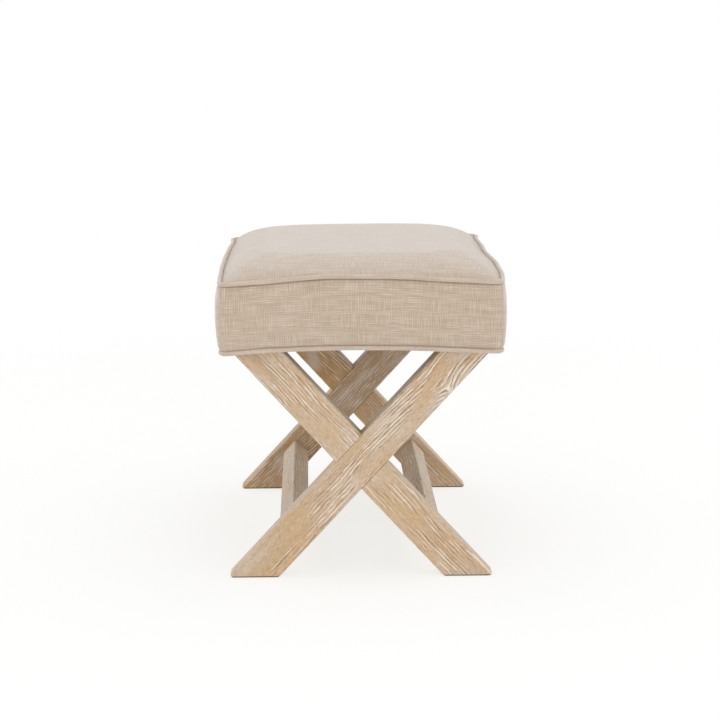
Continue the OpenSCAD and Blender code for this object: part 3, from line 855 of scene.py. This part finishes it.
# %% [markdown]
# ## Black non-woven
# The dust cloth is a thin felt of bonded fibres, with no thread direction. Its fibres are far too fine to
# show, so the mottled black that they give is drawn by noise about a millimetre wide. The cloth hangs by
# a fraction of a millimetre between its staples.

# %% Dust cloth
MOTTLES_PER_M = 900
DUST_STEPS = (48, 72)
SAG = 0.35 * MM
SAG_OVER = 60 * MM
STAPLED_EDGE = 30 * MM
EDGE_SAG_SHARE = 0.3

dust_material, t = new_material("black_bonded_dust_cloth")
place_in_m = add(t, "TexCoord").node.outputs["Object"]
fibres = add(t, "TexNoise", {"Vector": place_in_m, "Scale": MOTTLES_PER_M, "Detail": 3})
black = add(t, "Mix", {"Factor": fibres, "A": colour("#1c1b1b"), "B": colour("#353433")}, data_type="RGBA")
dust_bump = add(t, "Bump", {"Height": fibres, "Strength": 0.4, "Distance": 0.3 * MM})
add_output(t, add(t, "BsdfPrincipled", {"Base Color": black, "Roughness": 0.95, "Normal": dust_bump}))

dust_low, dust_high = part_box("dust_cover")
dust_size = (dust_high.x - dust_low.x, dust_high.y - dust_low.y)


def on_dust_cloth(u, v):
    """Where a point of the dust cloth lies. It sags less near the stapled long edges."""
    x = dust_low.x + u
    y = dust_low.y + v
    sag = SAG * noise.noise(Vector((x, y, 0)) / SAG_OVER)
    inside = STAPLED_EDGE < u < dust_high.x * 2 - STAPLED_EDGE
    return Vector((x, y, dust_low.z + THIN_CLOTH + sag * (1 if inside else EDGE_SAG_SHARE)))


dust_lines = [even_stops(length, count) for length, count in zip(dust_size, DUST_STEPS)]
dust_grid = cloth_grid(*dust_lines, on_dust_cloth)
cut_for_legs(dust_grid)
dust_cloth = finish_piece("dust_cloth", dust_grid, dust_material)
add_modifier(dust_cloth, "SOLIDIFY", thickness=THIN_CLOTH, offset=0)
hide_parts("dust_cover")
print("dust cloth, mm:", round(dust_size[0] / MM), "x", round(dust_size[1] / MM))

# %% [markdown]
# ## Metals
# Staples, screws, bolts and washers are zinc-plated steel, and the threaded inserts are passivated
# yellow. Plating is dull and slightly cloudy, so a soft noise moves roughness and colour a little. A
# metal keeps its default IOR.

# %% Plated steel
CLOUDS_PER_M = 160
SMOOTHER = 0.1
ROUGHER = 0.15


def plated_steel(name, clear, cloudy, roughness):
    """Plated steel with a cloudy finish."""
    material, t = new_material(name)
    at = add(t, "TexCoord").node.outputs["Object"]
    cloud = add(t, "TexNoise", {"Vector": at, "Scale": CLOUDS_PER_M, "Detail": 3})
    tint = add(t, "Mix", {"Factor": cloud, "A": colour(clear), "B": colour(cloudy)}, data_type="RGBA")
    rough = {"Value": cloud, "To Min": roughness - SMOOTHER, "To Max": roughness + ROUGHER}
    rough = add(t, "MapRange", rough)
    add_output(t, add(t, "BsdfPrincipled", {"Base Color": tint, "Metallic": 1.0, "Roughness": rough}))
    return material


zinc = plated_steel("bright_zinc_plated_steel", "#c9cbce", "#a4a7ab", roughness=0.38)
yellow_zinc = plated_steel("yellow_zinc_plated_steel", "#c9ab62", "#a88f55", roughness=0.4)
print("metals:", zinc.name, yellow_zinc.name)

# %% [markdown]
# ## Staples
# Wire staples hold the dust cloth's edge. Each is only a millimetre thick, so a slim bar with softened
# edges stands for its crown. One mesh holds them all, and a seeded random turn keeps them from looking
# stamped.

# %% Staples
STAPLE = (10 * MM, 1.2 * MM, 0.7 * MM)
STAPLE_EVERY = 38 * MM
STAPLE_IN = 6 * MM
STAPLE_EDGE = 0.2 * MM
STAPLE_SEED = 5
STRAY_MM = 3
STRAY_DEGREES = 14


def beside_leg(x, y):
    """Whether a staple at x, y would lie on a leg or closer to it than its own length."""
    reach = STAPLE[0]
    return any(x0 - reach < x < x1 + reach and y0 - reach < y < y1 + reach for x0, x1, y0, y1 in LEG_CUTS)


def staple_row():
    """Places and turns of the staples round the dust cloth, clear of the legs."""
    chance = random.Random(STAPLE_SEED)
    half_x = dust_high.x - STAPLE_IN
    half_y = dust_high.y - STAPLE_IN
    for along, away, across in ((half_x, half_y, False), (half_y, half_x, True)):
        count = round(2 * along / STAPLE_EVERY)
        for i in range(1, count):
            run = -along + 2 * along * i / count + chance.uniform(-STRAY_MM, STRAY_MM) * MM
            for sign in (-1, 1):
                x, y = (sign * away, run) if across else (run, sign * away)
                if not beside_leg(x, y):
                    yield x, y, (90 if across else 0) + chance.uniform(-STRAY_DEGREES, STRAY_DEGREES)


staples = bmesh.new()
for x, y, degrees in staple_row():
    at = Matrix.Translation((x, y, dust_low.z)) @ Matrix.Rotation(math.radians(degrees), 4, "Z")
    bmesh.ops.create_cube(staples, size=1, matrix=at @ Matrix.Diagonal((*STAPLE, 1)))
bmesh.ops.bevel(
    staples,
    geom=staples.edges[:],
    offset=STAPLE_EDGE,
    affect="EDGES",
    segments=1,
    profile=0.5,
    material=-1,
)
print("faces of all staples:", len(staples.faces))
finish_piece("dust_cloth_staples", staples, zinc)

# %% [markdown]
# ## Limed oak
# The legs and stretchers are sawn oak, brushed so that the soft grain is hollowed, then limed: white
# paste stays in the open pores and along the worn arrises, and the wood between stays tan. Patches of it
# are more golden or more washed than the rest. The narrow faces are paler, partly from lime and partly
# from painted light. The rear legs have a thin stain that also paints their shade under the seat, and the
# stretchers a pale wash that also paints the light on them. An image of wood would be the usual way.
# Here the grain comes from a rule, so it runs through the whole board. It starts with the growth rings:
# every point's distance from a pith line beside the board gives its place in them, and a slow noise bends
# them, as no trunk is quite straight.

# %% Growth rings
# Sizes are in mm, across the grain first and then along it. A knot pulls the rings round it, within the
# first size, by the second.
PITH = (-75, 45)
BEND_SIZE = (70, 190)
BEND = 14
KNOT_PULLS = ((17, 10), (4, 5))
KNOT_SHAPE = (1, 0, 0.8)


def grain_scale(size):
    """The scale that gives noise a size in mm, across the grain and along it."""
    return (1 / size[0], 1 / size[0], 1 / size[1])


def growth_rings(t, board, shifted, axes, knot):
    """How far a point lies from the board's pith line, in mm, and how near the knot it is, from 0 to 1."""
    bend = add(t, "Mapping", {"Vector": shifted, "Scale": grain_scale(BEND_SIZE)})
    bend = add(t, "TexNoise", {"Vector": bend, "Scale": 1, "Detail": 1})
    bend = add(t, "MapRange", {"Value": bend, "To Min": -BEND, "To Max": BEND})
    across = add(t, "Math", {0: axes[0], 1: bend}, operation="ADD")
    near_knot = None
    if knot:
        away = add(t, "VectorMath", {0: board, 1: (knot[0], 0, knot[1])}, operation="SUBTRACT")
        away = add(t, "VectorMath", {0: away, 1: KNOT_SHAPE}, operation="MULTIPLY")
        away = add(t, "VectorMath", {0: away}, operation="LENGTH")
        away = add(t, "Math", {0: away, 1: 2}, operation="POWER")
        for reach, pull in KNOT_PULLS:
            near_knot = add(t, "Math", {0: away, 1: -1 / reach**2}, operation="MULTIPLY")
            near_knot = add(t, "Math", {0: near_knot}, operation="EXPONENT")
            across = add(t, "Math", {0: near_knot, 1: -pull, 2: across}, operation="MULTIPLY_ADD")
    from_pith = add(t, "CombineXYZ", {0: across, 1: axes[1], 2: 0})
    from_pith = add(t, "VectorMath", {0: from_pith, 1: (*PITH, 0)}, operation="ADD")
    return add(t, "VectorMath", {0: from_pith}, operation="LENGTH"), near_knot


print("pith line from the middle of the board, mm:", round(math.hypot(*PITH)))

# %% [markdown]
# ## Grain lines
# Brushing hollows the soft early wood of each ring and leaves the hard late wood proud. Lime stays in the
# hollows as pale lines, and the late wood shows as brown ones beside them. Stretched noise alone looks
# like smears. A wave texture over the rings gives true lines, and two noises then break them up along
# their run.

# %% Lines of lime and of late wood
# Brown and lime lines follow the rings, the brown ones a step ahead. A wave texture of scale 1 repeats
# after pi / 10. Two noises break the lines up, each with its size, its two limits, and what is left of a
# line.
WAVE_REPEAT = math.pi / 10
LINE_DRAWN_OUT = 6
LINE_LEAD = 1.7
LINE_SEED = 40
LINE_BREAKS = (((22, 90), 0.37, 0.54, 0.5), ((3, 26), 0.37, 0.55, 0.42))


def grain_lines(t, ring, along, shifted, gap, seed):
    """The lime lines and the brown lines, at a gap in mm, broken up along their run."""
    drawn = add(t, "Math", {0: along, 1: 1 / LINE_DRAWN_OUT, 2: seed * LINE_SEED}, operation="MULTIPLY_ADD")
    flow = add(t, "CombineXYZ", {0: ring, 1: 0, 2: drawn})
    wave = {"Vector": flow, "Scale": WAVE_REPEAT / gap, "Distortion": 4.4, "Detail": 3, "Detail Scale": 2.7}
    lines = [add(t, "TexWave", wave), add(t, "TexWave", wave | {"Phase Offset": LINE_LEAD})]
    for size, low, high, least in LINE_BREAKS:
        broken = add(t, "Mapping", {"Vector": shifted, "Scale": grain_scale(size)})
        broken = add(t, "TexNoise", {"Vector": broken, "Scale": 1, "Detail": 1})
        broken = add(t, "MapRange", {"Value": broken, "From Min": low, "From Max": high, "To Min": least})
        lines = [add(t, "Math", {0: line, 1: broken}, operation="MULTIPLY") for line in lines]
    return lines


print("noises that break up the lines:", len(LINE_BREAKS))

# %% [markdown]
# ## Pores, tones and worn edges
# Oak's open pores are short dashes along the board, a few tenths of a millimetre wide, and they are drawn
# 1.1 mm wide so that they show. The wood's tone drifts slowly along the rings. The long edges, the
# arrises, are worn in places and hold more lime there. Noise drawn out along the board gives the first
# two, and the distance to the board's own faces gives the third.

# %% Pores, tones and arrises
# A mark has its size, its layer in the noise and its detail. An arris is worn between two depths in mm.
PORE = ((1.1, 8), 7, 1.5)
TONE = ((13, 260), 3, 2)
MARK_SEEDS = (13, 5.3)
WEAR = 14
ARRIS = (2.2, 0.5)


def pores_and_tones(t, ring, along, seed):
    """Two noises drawn out along the board: its open pores, and its slow changes of tone."""
    marks = []
    for size, layer, detail in (PORE, TONE):
        start = seed * MARK_SEEDS[0] + layer
        cell = add(t, "Math", {0: ring, 1: 1 / size[0], 2: start}, operation="MULTIPLY_ADD")
        step = add(t, "Math", {0: along, 1: 1 / size[1], 2: seed * MARK_SEEDS[1]}, operation="MULTIPLY_ADD")
        cells = add(t, "CombineXYZ", {0: cell, 1: step, 2: layer})
        marks.append(add(t, "TexNoise", {"Vector": cells, "Scale": 1, "Detail": detail, "Roughness": 0.62}))
    return marks


def worn_arrises(t, axes, shifted, halves):
    """Where the board's long edges are worn, and how far out a point is towards the narrow faces, in mm."""
    worn = add(t, "TexNoise", {"Vector": shifted, "Scale": 1 / WEAR, "Detail": 3})
    worn = add(t, "MapRange", {"Value": worn, "From Min": 0.45, "From Max": 0.62, "To Max": 1})
    outwards = [add(t, "Math", {0: axis}, operation="ABSOLUTE") for axis in (axes[0], axes[1])]
    for out, half in zip(outwards, halves):
        edge = add(t, "MapRange", {"Value": out, "From Min": half - ARRIS[0], "From Max": half - ARRIS[1]})
        worn = add(t, "Math", {0: worn, 1: edge}, operation="MULTIPLY")
    return worn, outwards[0]


print("size of a drawn pore, mm:", PORE[0])

# %% [markdown]
# ## The finish of one board
# The layers go on as the finisher puts them on: bare wood in two tones; a tint where the board has one,
# which on the rear legs is a thin stain with painted shade and on the stretchers a pale wash with painted
# light; golden and washed patches; then pores, brown and lime lines; and last the lime on worn edges, lime
# with painted light on the narrow faces, and lime round a knot. The surface is matt, with the lines
# slightly raised by the brushing.

# %% Limed oak
OAK = {
    "tan": "#dac0a4",
    "brown": "#c6a989",
    "golden": "#d3ad78",
    "dark": "#8f6f50",
    # These two are partly stain and partly painted shade, for the rear legs in the shade under the seat.
    "stain_and_painted_lighting": "#b58a55",
    "smoky_stain_and_shade": "#a07c55",
    "lime": "#f2e6d5",
    # A wash for the paler patches, and on the stretchers partly painted light.
    "wash_and_painted_light": "#dbccbc",
}
SEED_SHIFT = (37, 91, 53)
PATCH_SIZE = (34, 80)
FEET_WARMER = -1 / 4500
STAIN_AND_PAINTED_LIGHTING_RUN = (-110, 40)
NARROW_FACE_LIME_AND_LIGHT = (0.7, 0.2)
PORE_BROWN = 0.6
PORE_LIME = 0.4


def limed_oak(name, centre, turn, halves, seed, knot, gap, brown, lime, stain_and_painted_lighting):
    """Brushed and limed oak for one board: its centre, turn and half sizes, a seed, a knot's place, the gap
    between its rings, the strengths of its brown and lime lines, and a tint's tone with its shares at the
    foot and the top. The tint is partly real and partly painted: shade on the rear legs, light on the
    stretchers. A Mapping node of the Texture type turns the leaning board upright."""
    material, t = new_material(name)
    at = add(t, "TexCoord").node.outputs["Object"]
    own_axes = {"Vector": at, "Location": centre, "Rotation": turn, "Scale": (MM, MM, MM)}
    board = add(t, "Mapping", own_axes, vector_type="TEXTURE")
    shift = tuple(seed * step for step in SEED_SHIFT)
    shifted = add(t, "VectorMath", {0: board, 1: shift}, operation="ADD")
    axes = add(t, "SeparateXYZ", {0: board}).node.outputs
    ring, near_knot = growth_rings(t, board, shifted, axes, knot)
    lime_line, brown_line = grain_lines(t, ring, axes[2], shifted, gap, seed)
    pore, tone = pores_and_tones(t, ring, axes[2], seed)
    arris, outwards = worn_arrises(t, axes, shifted, halves)
    patch = add(t, "Mapping", {"Vector": shifted, "Scale": grain_scale(PATCH_SIZE)})
    patch = add(t, "TexNoise", {"Vector": patch, "Scale": 1, "Detail": 2})
    patch = add(t, "Math", {0: axes[2], 1: FEET_WARMER, 2: patch}, operation="MULTIPLY_ADD")
    tone = add(t, "MapRange", {"Value": tone, "From Min": 0.25, "From Max": 0.75})
    wood = {"Factor": tone, "A": colour(OAK["tan"]), "B": colour(OAK["brown"])}
    shade = add(t, "Mix", wood, data_type="RGBA")
    # The tint along the board. On the rear legs it is a thin stain that also paints their shade under the
    # seat, and on the stretchers a pale wash that also paints the light they catch.
    tint, foot, top = stain_and_painted_lighting
    start, end = STAIN_AND_PAINTED_LIGHTING_RUN
    seen = {"Value": axes[2], "From Min": start, "From Max": end, "To Min": foot, "To Max": top}
    seen = add(t, "MapRange", seen)
    shade = add(t, "Mix", {"Factor": seen, "A": shade, "B": colour(OAK[tint])}, data_type="RGBA")
    half = halves[0]
    # What a layer follows, the values at which it starts and is full, its strength, and its tone.
    layers = [
        (patch, 0.5, 0.66, 0.42, "golden"),
        (patch, 0.47, 0.33, 0.6, "wash_and_painted_light"),
        (pore, 0.47, 0.28, brown * PORE_BROWN, "dark"),
        (pore, 0.54, 0.72, lime * PORE_LIME, "lime"),
        (brown_line, 0.46, 0.95, brown, "dark"),
        (lime_line, 0.5, 0.95, lime, "lime"),
        (arris, 0, 1, 0.5, "lime"),
        # The narrow faces turn paler: partly lime, partly painted light for the light they catch.
        (outwards, half - NARROW_FACE_LIME_AND_LIGHT[0], half - NARROW_FACE_LIME_AND_LIGHT[1], 0.28, "lime"),
    ]
    if near_knot:
        layers.append((near_knot, 0.2, 1, 0.7, "lime"))
    for look, low, high, strength, tint in layers:
        seen = add(t, "MapRange", {"Value": look, "From Min": low, "From Max": high, "To Max": strength})
        shade = add(t, "Mix", {"Factor": seen, "A": shade, "B": colour(OAK[tint])}, data_type="RGBA")
    grain = add(t, "Math", {0: lime_line, 1: brown_line}, operation="SUBTRACT")
    surface = {
        "Base Color": shade,
        "Roughness": 0.72,
        "Specular IOR Level": 0.3,
        "Normal": add(t, "Bump", {"Height": grain, "Strength": 0.3, "Distance": 0.4 * MM}),
    }
    add_output(t, add(t, "BsdfPrincipled", surface))
    return material


print("oak tones:", len(OAK))

# %% [markdown]
# ## Dressing the legs and stretchers
# Each board gets its own cut of the wood: its centre, its lean and a seed. The two legs of a pair cross
# at one height and lean by the same angle to either side, as they do in the frame. The stretchers run
# from frame to frame and lie flat on the legs, so they take the same lean and are laid along the depth.

# %% Boards
# Half sizes are in mm. A look gives the board's lean, its seed, a knot's place in mm, the gap between its
# rings in mm, the strengths of its brown and lime lines, and its tint: on the rear legs a thin stain with
# painted shade, on the stretchers a pale wash with painted light.
HALF_LEG = (28.5, 19)
HALF_STRETCHER = (16.5, 16.5)
CROSS_Z = 181 * MM
LEG_ANGLE = math.radians(42.47)
ALONG_DEPTH = math.radians(-90)
LEG_LOOKS = {
    "front_left_leg": (1, 3, (23.5, 172.7), 4.6, 0.8, 1.0, ("tan", 0, 0)),
    "front_right_leg": (-1, 8, None, 5.0, 0.68, 0.86, ("tan", 0, 0)),
    "rear_left_leg": (1, 12, None, 4.6, 0.6, 0.7, ("smoky_stain_and_shade", 0.6, 0.5)),
    "rear_right_leg": (-1, 17, None, 4.6, 0.6, 0.65, ("stain_and_painted_lighting", 0.05, 0.85)),
}
STRETCHER_LOOKS = {
    "left_stretcher": (1, 21, None, 4.4, 0.5, 0.7, ("wash_and_painted_light", 0.25, 0.25)),
    "right_stretcher": (-1, 26, None, 4.4, 0.5, 0.7, ("wash_and_painted_light", 0.05, 0.05)),
}


def paint(node, material):
    """Gives a node in the frame its finish."""
    nodes[node].data.materials.clear()
    nodes[node].data.materials.append(material)


def board_centre(node):
    """Middle of a board's box."""
    low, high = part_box(node)
    return (low + high) / 2


for node, (lean, *look) in LEG_LOOKS.items():
    crossing = (0, board_centre(node).y, CROSS_Z)
    turn = (0, lean * LEG_ANGLE, 0)
    paint(node, limed_oak("limed_oak_" + node, crossing, turn, HALF_LEG, *look))
for node, (lean, *look) in STRETCHER_LOOKS.items():
    turn = (ALONG_DEPTH, lean * LEG_ANGLE, 0)
    paint(node, limed_oak("limed_oak_" + node, board_centre(node), turn, HALF_STRETCHER, *look))
print("boards:", len(LEG_LOOKS) + len(STRETCHER_LOOKS))

# %% [markdown]
# ## Plain woods inside the seat
# The seat frame is planed pine, the deck is plywood and the dowels are beech. They only show when the
# cover is off, so one rule serves them all: noise drawn out along the grain, in each wood's own two
# tones.

# %% Plain woods


def plain_wood(name, light, dark, grain, roughness):
    """Planed wood: noise stretched along the grain, to marks of a size in mm on each axis."""
    material, t = new_material(name)
    at = add(t, "TexCoord").node.outputs["Object"]
    marks = add(t, "Mapping", {"Vector": at, "Scale": [1 / (g * MM) for g in grain]})
    lines = add(t, "TexNoise", {"Vector": marks, "Scale": 1, "Detail": 4, "Roughness": 0.6})
    shade = add(t, "MapRange", {"Value": lines, "From Min": 0.35, "From Max": 0.65})
    shade = add(t, "Mix", {"Factor": shade, "A": colour(dark), "B": colour(light)}, data_type="RGBA")
    bump = add(t, "Bump", {"Height": lines, "Strength": 0.25, "Distance": 0.3 * MM})
    surface = {"Base Color": shade, "Roughness": roughness, "Normal": bump}
    add_output(t, add(t, "BsdfPrincipled", surface))
    return material


pine_long = plain_wood("planed_pine_along_depth", "#e0bd85", "#c99c60", grain=(3, 90, 5), roughness=0.6)
pine_short = plain_wood("planed_pine_along_width", "#dfbb83", "#c79a5e", grain=(90, 3, 5), roughness=0.6)
birch = plain_wood("birch_plywood", "#cfae7c", "#b58f5b", grain=(70, 6, 1.4), roughness=0.65)
beech = plain_wood("turned_beech", "#dcb98a", "#c79c69", grain=(4, 4, 14), roughness=0.5)
INNER_FINISHES = (
    (pine_long, ("left_rail", "right_rail")),
    (pine_short, ("front_rail", "rear_rail", "middle_rail", "corner_blocks")),
    (beech, ("rail_dowels", "leg_dowels", "stretcher_dowels")),
    (birch, ("seat_deck",)),
    (zinc, ("deck_screws", "leg_bolts", "leg_washers")),
    (yellow_zinc, ("leg_inserts",)),
)
for material, names in INNER_FINISHES:
    for node in names:
        paint(node, material)
print("inner nodes finished:", sum(len(names) for _, names in INNER_FINISHES))

# %% [markdown]
# ## Felt, foam and wadding
# Three fibrous or open stuffs. The pads under the feet are pressed brown felt, drawn dark enough to stand
# also for the contact shadow under the feet, so they are partly painted shadow. The foam is a pale
# open-cell block and the wadding a white fleece. Each takes a noise in its own two tones. Their fibres
# and cells are under half a millimetre, too fine to show, so the noise is drawn coarser, at 1.2 to 6 mm.

# %% Felt, foam and wadding


def soft_stuff(name, light, dark, size, strength):
    """A matt fibrous or foamed stuff, with marks of a size in mm."""
    material, t = new_material(name)
    at = add(t, "TexCoord").node.outputs["Object"]
    marks = add(t, "TexNoise", {"Vector": at, "Scale": 1 / (size * MM), "Detail": 4, "Roughness": 0.7})
    shade = add(t, "Mix", {"Factor": marks, "A": colour(dark), "B": colour(light)}, data_type="RGBA")
    bump = add(t, "Bump", {"Height": marks, "Strength": strength, "Distance": size * MM / 2})
    surface = {"Base Color": shade, "Roughness": 0.95, "Sheen Weight": 0.2, "Normal": bump}
    add_output(t, add(t, "BsdfPrincipled", surface))
    return material


# Brown felt, darkened to stand also for the contact shadow under the feet: partly painted shadow.
felt = soft_stuff("pressed_brown_felt_with_painted_shadow", "#3b2d26", "#1e1613", size=1.2, strength=0.6)
open_foam = soft_stuff("open_cell_foam", "#efe6c8", "#dccfa6", size=1.5, strength=0.5)
fleece = soft_stuff("polyester_wadding", "#f6f5f1", "#dfddd6", size=6, strength=0.4)
foam.data.materials.append(open_foam)
wadding.data.materials.append(fleece)
foot_pads = [node for node in nodes if node.endswith("_foot_pad")]
for node in foot_pads:
    paint(node, felt)
print("pads:", len(foot_pads))

# %% [markdown]
# ## Floor and background
# The ottoman stands on a white studio floor with only a faint shadow. More light would bleach the object,
# so the white comes from the floor's own colour as the camera sees it: part of it answers to the light,
# which keeps the shadow, and the rest is added. Further out it fades into plain white. Light that bounces
# off the floor meets a pale matt grey.

# %% Floor
FLOOR_HALF = 30.0
FLOOR_GAP = 0.2 * MM
# The answering part is cooler and the added part warmer, so the floor's shadow comes out warm: a painted
# warm tint, standing in for light bounced off the ottoman.
FLOOR_ANSWER = (0.31, 0.32, 0.355, 1)
FLOOR_ADDED = (0.723, 0.713, 0.675, 1)
FLOOR_BOUNCE = (0.92, 0.92, 0.92, 1)
WHITE = (1, 1, 1, 1)
FADE_FROM = 1.1
FADE_TO = 2.2


def seen_directly(tree):
    """1 where the camera, a reflection or glass sees the surface, and 0 where only light falls on it."""
    ray = add(tree, "LightPath").node.outputs
    direct = add(tree, "Math", {0: ray["Is Camera Ray"], 1: ray["Is Glossy Ray"]}, operation="MAXIMUM")
    return add(tree, "Math", {0: direct, 1: ray["Is Transmission Ray"]}, operation="MAXIMUM")


floor_mesh = bmesh.new()
bmesh.ops.create_grid(floor_mesh, x_segments=2, y_segments=2, size=FLOOR_HALF)
bmesh.ops.translate(floor_mesh, verts=floor_mesh.verts, vec=(0, 0, -FLOOR_GAP))
floor_data = bpy.data.meshes.new("studio_floor")
floor_mesh.to_mesh(floor_data)
floor_mesh.free()
floor = bpy.data.objects.new("studio_floor", floor_data)
scene.collection.objects.link(floor)
floor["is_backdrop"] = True

floor_material, t = new_material("white_studio_floor")
answer = add(t, "BsdfDiffuse", {"Color": FLOOR_ANSWER})
added = add(t, "Emission", {"Color": FLOOR_ADDED, "Strength": 1.0})
near = add(t, "AddShader", {0: answer, 1: added})
far = add(t, "Emission", {"Color": WHITE, "Strength": 1.0})
away = add(t, "VectorMath", {0: add(t, "TexCoord").node.outputs["Object"]}, operation="LENGTH")
fade = add(t, "MapRange", {"Value": away, "From Min": FADE_FROM, "From Max": FADE_TO})
looked_at = add(t, "MixShader", {0: fade, 1: near, 2: far})
bounce = add(t, "BsdfDiffuse", {"Color": FLOOR_BOUNCE})
add_output(t, add(t, "MixShader", {0: seen_directly(t), 1: bounce, 2: looked_at}))
floor_data.materials.append(floor_material)
print("floor fades to white from, m:", FADE_FROM, "to", FADE_TO)

# %% [markdown]
# ## The world
# Behind the floor the world is plain white for the camera, for reflections and through glass. An image of
# a studio could light the scene. An even white is simpler, and it fills the shadows at a level that
# leaves the colours as they are written.

# %% World
WORLD_LIGHT = 0.76

world = bpy.data.worlds.new("studio")
world.use_nodes = True
scene.world = world
t = world.node_tree
t.nodes.clear()
fill_light = add(t, "Background", {"Color": WHITE, "Strength": WORLD_LIGHT})
backdrop = add(t, "Background", {"Color": WHITE, "Strength": 1.0})
sky = add(t, "MixShader", {0: seen_directly(t), 1: fill_light, 2: backdrop})
world_output = t.nodes.new("ShaderNodeOutputWorld")
t.links.new(sky, world_output.inputs["Surface"])
print("world light:", WORLD_LIGHT)

# %% [markdown]
# ## Lamps
# A studio picture like this one is lit by large soft sources: one overhead, which makes the seat's top
# lighter than its front, a low wide one in front, and one at each side. They are all neutral, so that the
# colours of linen and oak stay as they are written. Area lamps give that, with soft shadows.

# %% Lamps
# Places and sizes are in metres.


def area_lamp(name, at, target, size, watts):
    """A large soft lamp, aimed at a point."""
    data = bpy.data.lights.new(name, "AREA")
    data.shape = "RECTANGLE"
    data.size, data.size_y = size
    data.energy = watts
    lamp = bpy.data.objects.new(name, data)
    way = Vector(target) - Vector(at)
    lamp.matrix_world = Matrix.Translation(at) @ way.to_track_quat("-Z", "Y").to_matrix().to_4x4()
    scene.collection.objects.link(lamp)


area_lamp("overhead_softbox", at=(0, 0.1, 2.6), target=(0, 0, 0.4), size=(2.4, 2.4), watts=7)
area_lamp("front_softbox", at=(-0.3, -3.4, 0.75), target=(0, 0, 0.2), size=(2.6, 1.2), watts=18)
area_lamp("right_softbox", at=(2.6, 0.3, 0.9), target=(0, 0.1, 0.25), size=(2.4, 1.6), watts=9)
area_lamp("left_softbox", at=(-2.6, 0.3, 0.9), target=(0, 0.1, 0.25), size=(2.4, 1.6), watts=6)

# %% Box of the dressed model
visual_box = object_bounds()
boxes = {
    "cad": [list(corner) for corner in cad_box],
    "visual": [list(corner) for corner in visual_box],
}
print("visual box, mm:", [[round(c / MM, 1) for c in corner] for corner in boxes["visual"]])
